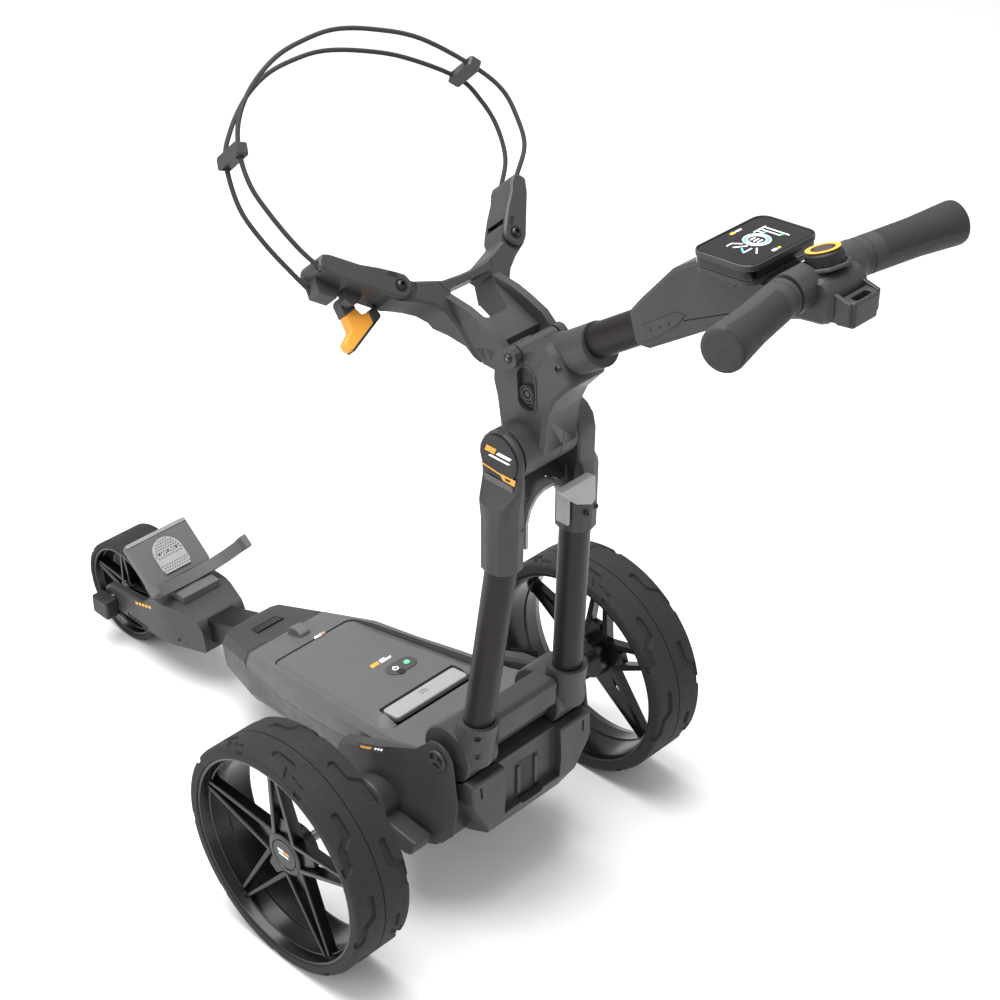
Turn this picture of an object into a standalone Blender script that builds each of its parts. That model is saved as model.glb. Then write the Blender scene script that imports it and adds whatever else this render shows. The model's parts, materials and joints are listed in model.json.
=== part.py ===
"""Electric golf trolley: a folding three-wheeled bag carrier.

Metres, +Z up, +Y is the direction of travel and +X is the user's right. Every shape is written in layout
coordinates, whose X = 0 is the trolley's middle plane and whose Z = 0 is the ground. One empty moves the
layout along Y, so that the origin lies under the middle of the trolley. Each moving body has an empty on
its joint, and its pieces hang on that empty.
"""

import math

import bmesh
import bpy
from mathutils import Matrix, Vector

# ------------------------------------------------------------------ driving dimensions
GAP = 0.0003

REAR_AXLE = Vector((0, -0.067, 0.145))
REAR_TYRE_R = 0.145
RIM_R = 0.1308
WHEEL_MID_X = 0.2438
WHEEL_HALF_WIDTH = 0.0392
AXLE_R = 0.006

FRONT_AXLE = Vector((0, 0.5455, 0.0735))
FRONT_TYRE_R = 0.0735
FRONT_RIM_R = 0.0660
FRONT_HALF_WIDTH = 0.035

LEG_PIVOT = Vector((0, -0.156, 0.243))
LEG_FOOT = Vector((0.0730, -0.1806, 0.266))
LEG_HEAD = Vector((0.0524, -0.2088, 0.560))
LEG_TUBE_R = 0.0175
KNUCKLE_R = 0.036
KNUCKLE_X = (0.0480, 0.0955)

HANDLE_PIVOT = Vector((0, -0.2018, 0.6388))
BARREL_R = 0.0285
BARREL_X = (-0.0475, 0.0280)
TUBE_LINE_POINT = Vector((0, -0.3066, 0.8014))
TUBE_LINE_DIR = Vector((0, -0.822, 0.570)).normalized()
HANDLE_TUBE_R = 0.0178

BAR_CENTRE = Vector((0, -0.5310, 0.9445))
GRIP_INNER = Vector((0.0500, -0.5310, 0.9445))
GRIP_OUTER = Vector((0.1630, -0.5570, 0.9490))
GRIP_R = (0.0178, 0.0185, 0.0208)
BAR_R = 0.0090

KNOB_BASE = Vector((0, -0.5362, 0.9583))
KNOB_TILT = math.radians(20)
KNOB_R = 0.0180
KNOB_HEIGHT = 0.0150

BRACKET_ANGLE = math.atan2(0.743, 0.669)
BRACKET_FOOT = Vector((0, -0.1627, 0.7167))
BRACKET_PIVOT = Vector((0, -0.1949, 0.7439))
BRACKET_DEPTH = 0.0380
BRACKET_EAR = (-0.0345, -0.0035)
BRACKET_BARREL_R = 0.0100
PIVOT_CAP_X = 0.1120
ARM_BOLT = (0.0812, 0.1134)
CORD_R = 0.0025

BATTERY_TOP = (0.198, -0.136)
BATTERY_LIFT_FOOT = Vector((0, 0.075, 0.100))
MOUNT_REAR_Y = -0.582

LAYOUT_SHIFT = Vector((0, -(FRONT_AXLE.y + FRONT_TYRE_R + MOUNT_REAR_Y) / 2, 0))

# ------------------------------------------------------------------ materials
# name: (colour, roughness, metallic)
MATERIALS = {
    "frame_plastic": ((0.060, 0.060, 0.062), 0.45, 0.0),
    "cover_plastic": ((0.110, 0.110, 0.112), 0.50, 0.0),
    "tube_metal": ((0.028, 0.025, 0.024), 0.40, 0.6),
    "tyre_rubber": ((0.055, 0.055, 0.056), 0.80, 0.0),
    "rim_gloss": ((0.008, 0.008, 0.009), 0.20, 0.0),
    "grip_rubber": ((0.060, 0.060, 0.062), 0.75, 0.0),
    "screen_glass": ((0.010, 0.010, 0.012), 0.10, 0.0),
    "accent_orange": ((0.870, 0.430, 0.050), 0.40, 0.0),
    "lever_grey": ((0.420, 0.420, 0.425), 0.40, 0.0),
    "steel": ((0.450, 0.450, 0.460), 0.35, 1.0),
    "board_green": ((0.030, 0.120, 0.050), 0.60, 0.0),
    "cord_elastic": ((0.045, 0.045, 0.046), 0.85, 0.0),
}

# ------------------------------------------------------------------ moving bodies
# body: (parent body, a point on its joint in layout coordinates)
BODIES = {
    "chassis": (None, Vector((0, 0, 0))),
    "battery": ("chassis", BATTERY_LIFT_FOOT),
    "battery_bail": ("battery", Vector((0, -0.0075, 0.1965))),
    "power_button": ("battery", Vector((0.012, 0.034, 0.195))),
    "drive_axle": ("chassis", REAR_AXLE),
    "motor_pinion": ("chassis", REAR_AXLE + Vector((0, -0.010, -0.0346))),
    "front_wheel": ("chassis", FRONT_AXLE),
    "wheel_release": ("chassis", FRONT_AXLE + Vector((-0.052, 0, 0))),
    "rear_catch": ("chassis", Vector((0, -0.180, 0.165))),
    "legs": ("chassis", LEG_PIVOT),
    "fold_lever": ("legs", Vector((0, -0.2083, 0.5835))),
    "handle": ("legs", HANDLE_PIVOT),
    "speed_knob": ("handle", KNOB_BASE),
    "knob_button": ("speed_knob", KNOB_BASE),
    "bag_bracket": ("handle", BRACKET_PIVOT),
    "left_arm": ("bag_bracket", BRACKET_FOOT),
    "right_arm": ("bag_bracket", BRACKET_FOOT),
    "strap_lever": ("left_arm", BRACKET_FOOT),
}


# ------------------------------------------------------------------ planes that shapes are drawn in
def plane(origin, u, v):
    """The matrix that carries (u, v, w) to layout coordinates, w being the normal u x v."""
    u, v = Vector(u).normalized(), Vector(v).normalized()
    matrix = Matrix((u, v, u.cross(v))).transposed().to_4x4()
    matrix.translation = origin
    return matrix


ORIGIN = Vector((0, 0, 0))
SIDE = plane(ORIGIN, (0, 1, 0), (0, 0, 1))  # outline (y, z), depth x
REAR = plane(ORIGIN, (1, 0, 0), (0, 0, 1))  # outline (x, z), depth -y
TOP = plane(ORIGIN, (1, 0, 0), (0, 1, 0))  # outline (x, y), depth z
BRACKET = plane(BRACKET_FOOT, (1, 0, 0), (0, math.cos(BRACKET_ANGLE), math.sin(BRACKET_ANGLE)))
CRADLE = plane((0, 0.4515, 0.1343), (1, 0, 0), (0, 0.770, 0.638))
DISPLAY = plane((0, -0.4594, 0.9540), (1, 0, 0), (0, 0.9975, -0.070))
KNOB_AXIS = Vector((0, math.sin(KNOB_TILT), math.cos(KNOB_TILT)))


# ------------------------------------------------------------------ outlines
def arc(centre, radius, start, end, steps):
    """Points on a circle from start to end degrees, both ends included."""
    angles = (math.radians(start + (end - start) * i / steps) for i in range(steps + 1))
    return [(centre[0] + radius * math.cos(a), centre[1] + radius * math.sin(a)) for a in angles]


def rounded_box(x0, x1, y0, y1, radius, steps=3):
    corners = (((x1, y1), 0), ((x0, y1), 90), ((x0, y0), 180), ((x1, y0), 270))
    outline = []
    for (x, y), start in corners:
        inward = (x - math.copysign(radius, x - (x0 + x1) / 2), y - math.copysign(radius, y - (y0 + y1) / 2))
        outline += arc(inward, radius, start, start + 90, steps)
    return outline


def mirrored(right_half):
    """An outline from its right half, listed from the bottom of the middle line to the top."""
    left_half = [(-x, y) for x, y in reversed(right_half) if x > 1e-9]
    return list(right_half) + left_half


# ------------------------------------------------------------------ solids
def finished_mesh(name, points, faces):
    mesh = bpy.data.meshes.new(name)
    mesh.from_pydata([tuple(p) for p in points], [], faces)
    tidy = bmesh.new()
    tidy.from_mesh(mesh)
    bmesh.ops.recalc_face_normals(tidy, faces=tidy.faces)
    tidy.to_mesh(mesh)
    tidy.free()
    return mesh


def loft_mesh(name, rings):
    """A closed solid through rings of equally many points, with a flat cap at each end."""
    count = len(rings[0])
    points = [p for ring in rings for p in ring]
    faces = [list(range(count)), list(range(len(points) - count, len(points)))]
    for i in range(len(rings) - 1):
        for j in range(count):
            k = (j + 1) % count
            faces.append([i * count + j, i * count + k, (i + 1) * count + k, (i + 1) * count + j])
    return finished_mesh(name, points, faces)


def prism_mesh(name, frame, outline, low, high):
    return loft_mesh(name, [[frame @ Vector((u, v, w)) for u, v in outline] for w in (low, high)])


def turned_mesh(name, profile, start, axis, segments, ring=False):
    """A profile of (distance along the axis, radius) turned about an axis. A ring never meets the axis."""
    axis = Vector(axis).normalized()
    side = axis.orthogonal().normalized()
    other = axis.cross(side)
    points, rings = [], []
    for along, radius in profile:
        centre = Vector(start) + axis * along
        if radius == 0:
            rings.append([len(points)] * segments)
            points.append(centre)
            continue
        rings.append(list(range(len(points), len(points) + segments)))
        for j in range(segments):
            a = 2 * math.pi * j / segments
            points.append(centre + radius * (math.cos(a) * side + math.sin(a) * other))
    pairs = list(zip(rings, rings[1:]))
    if ring:
        pairs.append((rings[-1], rings[0]))
    faces = []
    for low, high in pairs:
        for j in range(segments):
            k = (j + 1) % segments
            corners = list(dict.fromkeys((low[j], low[k], high[k], high[j])))
            if len(corners) > 2:
                faces.append(corners)
    return finished_mesh(name, points, faces)


def cylinder_mesh(name, start, end, radius, segments=20):
    start, end = Vector(start), Vector(end)
    length = (end - start).length
    profile = [(0, 0), (0, radius), (length, radius), (length, 0)]
    return turned_mesh(name, profile, start, end - start, segments)


def rod_mesh(name, route, radius, sides=14):
    """A round rod along a route of points in one direction, such as a bar with a bend."""
    rings = []
    for i, point in enumerate(route):
        before, after = route[max(i - 1, 0)], route[min(i + 1, len(route) - 1)]
        frame = plane(point, *cross_axes(after - before))
        rings.append([frame @ Vector((u, v, 0)) for u, v in arc((0, 0), radius, 0, 360, sides)[:-1]])
    return loft_mesh(name, rings)


def cross_axes(direction):
    """Two axes across a direction, the first kept as level as it can be."""
    direction = direction.normalized()
    across = direction.cross(Vector((0, 0.2, 1))).normalized()
    return across, direction.cross(across)


# ------------------------------------------------------------------ objects
def make_material(name):
    colour, roughness, metallic = MATERIALS[name]
    material = bpy.data.materials.new(name)
    material.use_nodes = True
    shader = material.node_tree.nodes["Principled BSDF"]
    shader.inputs["Base Color"].default_value = (*colour, 1)
    shader.inputs["Roughness"].default_value = roughness
    shader.inputs["Metallic"].default_value = metallic
    return material


def make_empties():
    """One empty on each body's joint, each hanging on its parent body's."""
    layout = bpy.data.objects.new("layout", None)
    layout.location = LAYOUT_SHIFT
    bpy.context.collection.objects.link(layout)
    empties = {}
    for body, (parent, joint) in BODIES.items():
        empty = bpy.data.objects.new("joint_" + body, None)
        empty.parent = empties.get(parent, layout)
        empty.location = joint - (BODIES[parent][1] if parent else ORIGIN)
        bpy.context.collection.objects.link(empty)
        empties[body] = empty
    return empties


def add_piece(name, mesh, body, material, bevel=0, bevel_steps=1):
    mesh.transform(Matrix.Translation(-BODIES[body][1]))
    piece = bpy.data.objects.new(name, mesh)
    piece.parent = EMPTIES[body]
    bpy.context.collection.objects.link(piece)
    mesh.materials.append(PAINTS[material])
    mesh.shade_smooth()
    mesh.set_sharp_from_angle(angle=math.radians(35))
    if bevel:
        soften = piece.modifiers.new("edges", "BEVEL")
        soften.width = bevel
        soften.segments = bevel_steps
        soften.limit_method = "ANGLE"
        soften.angle_limit = math.radians(35)
    return piece


def combine(piece, mesh, operation, bevel=0):
    """Adds a mesh to a piece, or cuts it from the piece, with a hidden tool."""
    body = piece.parent.name.removeprefix("joint_")
    tool = add_piece(piece.name + "_tool", mesh, body, "steel", bevel)
    tool.hide_render = True
    tool.display_type = "WIRE"
    change = piece.modifiers.new(operation.lower(), "BOOLEAN")
    change.operation = operation
    change.object = tool


def join(piece, mesh, bevel=0):
    combine(piece, mesh, "UNION", bevel)


def cut(piece, mesh):
    combine(piece, mesh, "DIFFERENCE")


# ------------------------------------------------------------------ chassis
# y: (floor half width, floor z, flank half width, flank z, seam half width, seam z, edge z, top inset, top z)
HULL_SECTIONS = {
    0.2350: (0.054, 0.073, 0.067, 0.096, 0.0690, 0.1380, 0.1440, 0.008, 0.1530),
    0.1500: (0.056, 0.079, 0.074, 0.103, 0.0840, 0.1430, 0.1665, 0.009, 0.1760),
    0.0800: (0.062, 0.083, 0.080, 0.110, 0.0905, 0.1520, 0.1770, 0.010, 0.1865),
    0.0100: (0.075, 0.080, 0.092, 0.115, 0.0975, 0.1680, 0.1905, 0.010, 0.1985),
    -0.067: (0.088, 0.074, 0.1035, 0.106, 0.1035, 0.1850, 0.2030, 0.010, 0.2110),
    -0.118: (0.085, 0.086, 0.1035, 0.118, 0.1035, 0.1950, 0.2180, 0.010, 0.2270),
}


def hull_ring(y, half):
    return [(x, y, z) for x, z in mirrored(half)]


def make_tray():
    wall = 0.005
    outer, inner = [], []
    for y, (floor_x, floor_z, flank_x, flank_z, seam_x, seam_z, *_) in HULL_SECTIONS.items():
        outer.append(hull_ring(y, [(floor_x, floor_z), (flank_x, flank_z), (seam_x, seam_z)]))
        half = [(floor_x - wall, floor_z + wall), (flank_x - wall, flank_z), (seam_x - wall, seam_z + wall)]
        y_inside = min(max(y, -0.118 + wall), 0.235 - wall)
        inner.append(hull_ring(y_inside, half))
    tray = add_piece("chassis_tray", loft_mesh("tray", outer), "chassis", "frame_plastic")
    cut(tray, loft_mesh("tray_hollow", inner))
    side = Vector((0.2, 0, 0))
    cut(tray, cylinder_mesh("tray_axle_hole", REAR_AXLE - side, REAR_AXLE + side, AXLE_R + 0.003))


def battery_outline(grow):
    """The battery's plan, wider at the rear, with rounded corners. Counter-clockwise in (x, y)."""
    radius = 0.012
    front_x, rear_x, front_y, rear_y = 0.0655 + grow, 0.0840 + grow, 0.186 + grow, -0.036 - grow
    right = arc((rear_x - radius, rear_y + radius), radius, -90, 0, 3)
    right += arc((front_x - radius, front_y - radius), radius, 5, 90, 3)
    return mirrored(right)


def battery_top(y):
    return BATTERY_TOP[0] + BATTERY_TOP[1] * y


def make_cover():
    rings = []
    for y, (*_, seam_x, seam_z, edge_z, inset, top_z) in HULL_SECTIONS.items():
        half = [(seam_x, seam_z + GAP), (seam_x - 0.002, edge_z), (seam_x - inset, top_z)]
        rings.append(hull_ring(y, half))
    cover = add_piece("base_cover", loft_mesh("cover", rings), "chassis", "cover_plastic")
    well = [(x * 1.014, y - 0.013) if y < 0 else (x, y) for x, y in battery_outline(0.0008)]
    cut(cover, prism_mesh("battery_well", TOP, well, 0.05, 0.30))


def front_tube_mesh(name, grow, reach=0.0):
    """The rectangular front tube, grown by a clearance to make the holes that hold it."""
    start, end = Vector((0, 0.262, 0.1310)), Vector((0, 0.428, 0.0742))
    along = (end - start).normalized()
    frame = plane(start, (1, 0, 0), along.cross(Vector((1, 0, 0))))
    outline = rounded_box(-0.023 - grow, 0.023 + grow, -0.017 - grow, 0.017 + grow, 0.004, 2)
    length = (end - start).length
    return prism_mesh(name, frame, outline, -reach, length + reach)


def make_nose():
    stations = ((0.312, 0.043, 0.074, 0.134), (0.304, 0.052, 0.068, 0.1375), (0.2356, 0.069, 0.071, 0.1525))
    rings = []
    for y, half_x, low, high in stations:
        half = [(half_x - 0.016, low), (half_x - 0.004, low + 0.02), (half_x, high - 0.012), (half_x - 0.008, high)]
        rings.append(hull_ring(y, half))
    nose = add_piece("nose_housing", loft_mesh("nose", rings), "chassis", "frame_plastic")
    cut(nose, front_tube_mesh("nose_socket", GAP, 0.001))


def make_fairings():
    pivot = (LEG_PIVOT.y, LEG_PIVOT.z)
    outline = [(0.004, 0.168), (-0.003, 0.190), (-0.060, 0.215), (-0.120, 0.238)]
    outline += arc(pivot, 0.0235, 60, 180, 5)
    outline += [(-0.186, 0.190), (-0.178, 0.142), (-0.150, 0.112), (-0.110, 0.092), (-0.060, 0.088), (-0.032, 0.115)]
    for side, name in ((-1, "left_fairing"), (1, "right_fairing")):
        low, high = sorted((side * 0.1040, side * 0.1240))
        fairing = add_piece(name, prism_mesh(name, SIDE, outline, low, high), "chassis", "frame_plastic", 0.003)
        taper = [(0.1265, -0.045), (0.1088, -0.122), (0.1080, -0.22), (0.15, -0.22), (0.15, -0.045)]
        cut(fairing, prism_mesh("taper", TOP, [(side * x, y) for x, y in taper], 0, 0.4))
        reach = Vector((side * 0.2, 0, 0))
        cut(fairing, cylinder_mesh("axle_hole", REAR_AXLE, REAR_AXLE + reach, AXLE_R + 0.003))
        cut(fairing, cylinder_mesh("pin_hole", LEG_PIVOT, LEG_PIVOT + reach, 0.0063))


def make_rear_housing():
    outline = [(-0.1185, 0.094), (-0.1185, 0.222), (-0.150, 0.222), (-0.1985, 0.2190), (-0.2005, 0.1800)]
    outline += [(-0.1980, 0.1460), (-0.1840, 0.1200), (-0.1520, 0.1030)]
    mesh = prism_mesh("rear_block", SIDE, outline[::-1], -0.0965, 0.0965)
    housing = add_piece("rear_housing", mesh, "chassis", "frame_plastic", 0.002)
    dish = mirrored([(0.0455, 0.1500), (0.0455, 0.30)])
    cut(housing, prism_mesh("dish", REAR, dish, 0.1880, 0.25))
    barrel = Vector((0.0465, 0, 0))
    join(housing, cylinder_mesh("pivot_barrel", LEG_PIVOT - barrel, LEG_PIVOT + barrel, 0.0225, 28))
    for side in (-1, 1):
        flare = [(side * x, z) for x, z in ((0.0970, 0.190), (0.0600, 0.125), (0.0500, 0.05), (0.12, 0.05), (0.12, 0.190))]
        cut(housing, prism_mesh("flare", REAR, flare, 0.1450, 0.25))
        low, high = Vector((side * 0.0475, 0, 0)), Vector((side * 0.11, 0, 0))
        cut(housing, cylinder_mesh("knuckle_room", LEG_PIVOT + low, LEG_PIVOT + high, KNUCKLE_R + 0.0012, 32))
    pin = Vector((0.15, 0, 0))
    cut(housing, cylinder_mesh("pin_hole", LEG_PIVOT - pin, LEG_PIVOT + pin, 0.0063))
    cut(housing, prism_mesh("catch_pocket", REAR, rounded_box(-0.017, 0.017, 0.146, 0.184, 0.004), 0.172, 0.25))


def make_pivot_pin():
    """The pin that the legs fold on, with a cap at each end."""
    half = PIVOT_CAP_X
    cap = 0.0025
    profile = [(0, 0), (0, 0.0125), (cap, 0.0135), (cap, 0.006), (2 * half - cap, 0.006)]
    profile += [(2 * half - cap, 0.0135), (2 * half, 0.0125), (2 * half, 0)]
    mesh = turned_mesh("pin", profile, LEG_PIVOT - Vector((half, 0, 0)), (1, 0, 0), 20)
    add_piece("leg_pivot_pin", mesh, "chassis", "frame_plastic")


def make_drive():
    pinion = BODIES["motor_pinion"][1]
    shaft = [(0, 0), (0, 0.026), (0.098, 0.026), (0.098, 0.011), (0.106, 0.011), (0.106, 0)]
    motor = turned_mesh("motor", shaft, pinion + Vector((-0.040, 0, 0)), (1, 0, 0), 24)
    add_piece("drive_motor", motor, "chassis", "steel")
    board = prism_mesh("board", TOP, rounded_box(-0.042, 0.042, 0.090, 0.190, 0.003, 1), 0.0905, 0.0921)
    add_piece("controller_board", board, "chassis", "board_green")
    block = rounded_box(-0.028, 0.028, 0.030, 0.062, 0.003, 1)
    add_piece("battery_socket", prism_mesh("socket", TOP, block, 0.0900, 0.0990), "chassis", "rim_gloss")


def gear_outline(teeth, pitch_r, tooth, turn=0.0):
    """Trapezoid teeth about the origin: four points a tooth."""
    outline = []
    for i in range(teeth):
        for share, height in ((-0.30, -1.1), (-0.13, 0.9), (0.13, 0.9), (0.30, -1.1)):
            a = 2 * math.pi * (i + share + turn) / teeth
            outline.append(((pitch_r + height * tooth) * math.cos(a), (pitch_r + height * tooth) * math.sin(a)))
    return outline


GEAR_TEETH, PINION_TEETH = 36, 9


def make_gears():
    """The axle's gear and the motor's pinion: both lie at x = 70 to 80 mm and mesh on the line of centres."""
    pinion_joint = BODIES["motor_pinion"][1]
    line = pinion_joint - REAR_AXLE
    distance = line.length
    pitch = distance / (GEAR_TEETH + PINION_TEETH)
    heading = math.atan2(line.z, line.y)
    gear_frame = plane(REAR_AXLE, (0, math.cos(heading), math.sin(heading)), (0, -math.sin(heading), math.cos(heading)))
    gear = gear_outline(GEAR_TEETH, GEAR_TEETH * pitch, pitch)
    wheel = add_piece("drive_gear", prism_mesh("gear", gear_frame, gear, 0.0705, 0.0795), "drive_axle", "steel")
    cut(wheel, cylinder_mesh("gear_bore", REAR_AXLE, REAR_AXLE + Vector((0.1, 0, 0)), AXLE_R + GAP))
    pinion_frame = plane(pinion_joint, -gear_frame.col[0].to_3d(), -gear_frame.col[1].to_3d())
    pinion = gear_outline(PINION_TEETH, PINION_TEETH * pitch, pitch, 0.5)
    add_piece("motor_pinion", prism_mesh("pinion", pinion_frame, pinion, 0.0700, 0.0800), "motor_pinion", "steel")


# ------------------------------------------------------------------ wheels
# a rim and its tyre share one number of segments, so that their flats face each other
REAR_SEGMENTS = 40
FRONT_SEGMENTS = 32


def make_tyre(name, body, centre, half_width, inner_r, outer_r, segments):
    shoulder = (outer_r - inner_r) * 0.45
    profile = [(-half_width + 0.002, inner_r), (-half_width, outer_r - shoulder)]
    profile += [(-half_width + shoulder * 0.35, outer_r - shoulder * 0.25), (-half_width + shoulder * 1.2, outer_r)]
    profile += [(-along, radius) for along, radius in reversed(profile)]
    mesh = turned_mesh(name, profile, centre, (1, 0, 0), segments, ring=True)
    add_piece(name, mesh, body, "tyre_rubber")


def spider_outline(hub_r, rim_r, spokes, hub_half, rim_half, turn):
    """A hub with straight spokes that narrow towards the rim."""
    outline = []
    for i in range(spokes):
        a = math.radians(turn) + 2 * math.pi * i / spokes
        for radius, across in ((hub_r, -hub_half), (rim_r, -rim_half), (rim_r, rim_half), (hub_r, hub_half)):
            y, z = radius * math.cos(a) - across * math.sin(a), radius * math.sin(a) + across * math.cos(a)
            outline.append((y, z))
    return outline


def make_rim(name, body, centre, side, segments, sizes):
    """A deep barrel with a spider of five spokes near its outer side, and a hub on the axle."""
    rim_r, barrel_r, half_width, hub_r, hub_half, rim_half, hub_reach, bore = sizes
    lip = 0.004
    profile = [(-half_width, rim_r - 0.001), (half_width, rim_r - 0.001), (half_width, rim_r - lip - 0.001)]
    profile += [(half_width * 0.8, barrel_r), (-half_width * 0.8, barrel_r), (-half_width, rim_r - lip - 0.001)]
    mesh = turned_mesh(name, profile, centre, (1, 0, 0), segments, ring=True)
    rim = add_piece(name, mesh, body, "rim_gloss")
    spider = spider_outline(hub_r * 0.9, barrel_r + 0.002, 5, hub_half, rim_half, 17)
    frame = plane(centre, (0, 1, 0), (0, 0, 1))
    face, thick = side * half_width * 0.72, half_width * 0.28
    join(rim, prism_mesh("spider", frame, spider, *sorted((face, face - side * thick))))
    ends = sorted((side * hub_reach[0], side * hub_reach[1]))
    ends = [centre + Vector((x, 0, 0)) for x in ends]
    join(rim, cylinder_mesh("hub", *ends, hub_r, 28))
    if bore:
        depth = Vector((side * half_width * 0.45, 0, 0))
        cut(rim, cylinder_mesh("bore", centre - Vector((side * 0.06, 0, 0)), centre + depth, bore, 20))


def make_rear_wheels():
    sizes = (RIM_R + 0.0007, 0.1215, 0.0372, 0.030, 0.0135, 0.011, (-0.034, 0.0245), AXLE_R + GAP)
    for side, word in ((-1, "left"), (1, "right")):
        centre = REAR_AXLE + Vector((side * WHEEL_MID_X, 0, 0))
        make_tyre(word + "_tyre", "drive_axle", centre, WHEEL_HALF_WIDTH, RIM_R, REAR_TYRE_R, REAR_SEGMENTS)
        make_rim(word + "_rim", "drive_axle", centre, side, REAR_SEGMENTS, sizes)
    reach = Vector((WHEEL_MID_X + 0.0160, 0, 0))
    axle = cylinder_mesh("axle", REAR_AXLE - reach, REAR_AXLE + reach, AXLE_R, 20)
    add_piece("rear_axle", axle, "drive_axle", "steel")


def make_front_wheel():
    make_tyre("front_tyre", "front_wheel", FRONT_AXLE, FRONT_HALF_WIDTH, FRONT_RIM_R, FRONT_TYRE_R, FRONT_SEGMENTS)
    sizes = (FRONT_RIM_R + 0.0007, 0.0600, 0.033, 0.013, 0.006, 0.005, (-0.035, 0.035), None)
    make_rim("front_rim", "front_wheel", FRONT_AXLE, -1, FRONT_SEGMENTS, sizes)
    hole = Vector((0.05, 0, 0))
    cut(bpy.data.objects["front_rim"], cylinder_mesh("bore", FRONT_AXLE - hole, FRONT_AXLE + hole, 0.0043))
    reach = Vector((0.0495, 0, 0))
    add_piece("front_axle", cylinder_mesh("pin", FRONT_AXLE - reach, FRONT_AXLE + reach, 0.004), "chassis", "steel")


# ------------------------------------------------------------------ front end
def make_fork():
    hub = (FRONT_AXLE.y, FRONT_AXLE.z)
    outline = [(0.376, 0.066), (0.450, 0.054)] + arc(hub, 0.0185, -95, 85, 6)
    outline += [(0.478, 0.100), (0.456, 0.1205), (0.405, 0.1205), (0.374, 0.112), (0.366, 0.100), (0.362, 0.068)]
    mesh = prism_mesh("fork", SIDE, outline, -0.050, 0.050)
    fork = add_piece("front_fork", mesh, "chassis", "frame_plastic", 0.0025)
    slot = rounded_box(-0.0385, 0.0385, 0.466, 0.65, 0.006)
    cut(fork, prism_mesh("wheel_slot", TOP, slot, 0, 0.2))
    cut(fork, front_tube_mesh("fork_socket", GAP, 0.001))
    reach = Vector((0.1, 0, 0))
    cut(fork, cylinder_mesh("axle_hole", FRONT_AXLE - reach, FRONT_AXLE + reach, 0.0043))
    for side in (-1, 1):
        corner = [(side * 0.033, 0.35), (side * 0.06, 0.35), (side * 0.06, 0.430), (side * 0.050, 0.430)]
        cut(fork, prism_mesh("waist", TOP, corner, 0, 0.2))


def make_front_tube():
    tube = add_piece("front_tube", front_tube_mesh("tube", 0), "chassis", "tube_metal")
    cut(tube, front_tube_mesh("tube_hollow", -0.002, 0.01))


def make_cradle():
    plate = add_piece(
        "cradle_plate",
        prism_mesh("plate", CRADLE, rounded_box(-0.0505, 0.0505, -0.0010, 0.0690, 0.006), -0.012, 0),
        "chassis",
        "cover_plastic",
        0.002,
    )
    cut(plate, prism_mesh("pocket", CRADLE, rounded_box(-0.040, 0.040, -0.02, 0.060, 0.004), -0.02, -0.006))
    pad = [(-0.017, 0.012), (0.017, 0.012), (0.019, 0.030)] + arc((0, 0.033), 0.019, 0, 180, 8) + [(-0.019, 0.030)]
    add_piece("cradle_pad", prism_mesh("pad", CRADLE, pad, GAP, 0.003), "chassis", "lever_grey")

    outer = [(0, 0.006), (0.036, 0.009), (0.058, 0.019), (0.073, 0.036), (0.081, 0.053)]
    inner = [(0.074, 0.056), (0.066, 0.042), (0.053, 0.027), (0.034, 0.0175), (0, 0.0145)]
    half = outer + inner
    crescent = half + [(-x, w) for x, w in reversed(half) if x > 0]
    shelf = plane(CRADLE.translation, CRADLE.col[0].to_3d(), CRADLE.col[2].to_3d())
    arms = add_piece("cradle_arms", prism_mesh("horns", shelf, crescent, 0.0025, 0.0185), "chassis", "cover_plastic")
    foot = [(-0.030, 0.1209), (0.030, 0.1209), (0.030, 0.1310), (-0.030, 0.1310)]
    join(arms, prism_mesh("foot", REAR, foot, -0.4470, -0.4100))


def make_wheel_release():
    """A block at the axle's left end that is pulled outwards to free the front wheel."""
    y, z = FRONT_AXLE.y + 0.006, FRONT_AXLE.z - 0.010
    outline = rounded_box(y - 0.017, y + 0.017, z - 0.016, z + 0.014, 0.005)
    mesh = prism_mesh("release", SIDE, outline, -0.0700, -0.0504)
    add_piece("wheel_release", mesh, "wheel_release", "frame_plastic", 0.002)


# ------------------------------------------------------------------ battery
def make_battery():
    levels = ((0, 0.014, True), (-0.011, 0, False), (-0.0085, 0, False), (0, 0.016, False))
    rings = []
    for drop, inset, flat in levels:
        ring = []
        for x, y in battery_outline(-inset):
            ring.append((x, y, 0.100 if flat else battery_top(y) + drop))
        rings.append(ring)
    case = add_piece("battery_case", loft_mesh("case", rings), "battery", "cover_plastic")
    hollow = [(-0.060, -0.05), (0.060, -0.05), (0.060, -0.004), (-0.060, -0.004)]
    cut(case, prism_mesh("hand_hollow", TOP, hollow, 0.178, 0.25))
    button = BODIES["power_button"][1]
    well = cylinder_mesh("button_well", button - Vector((0, 0, 0.008)), button + Vector((0, 0, 0.03)), 0.0053, 20)
    cut(case, well)
    add_piece(
        "power_button",
        cylinder_mesh("button", button - Vector((0, 0, 0.0045)), button + Vector((0, 0, 0.0005)), 0.0050, 20),
        "power_button",
        "frame_plastic",
    )
    tilt = math.atan(BATTERY_TOP[1])
    deck = plane((0, 0, BATTERY_TOP[0]), (1, 0, 0), (0, math.cos(tilt), math.sin(tilt)))
    bail = add_piece(
        "battery_handle",
        prism_mesh("bail", deck, rounded_box(-0.0580, 0.0580, -0.0350, -0.0075, 0.004, 2), -0.006, 0),
        "battery_bail",
        "lever_grey",
        0.001,
    )
    return bail


# ------------------------------------------------------------------ legs
def mirror_x(point, side):
    return Vector((side * point.x, point.y, point.z))


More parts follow.
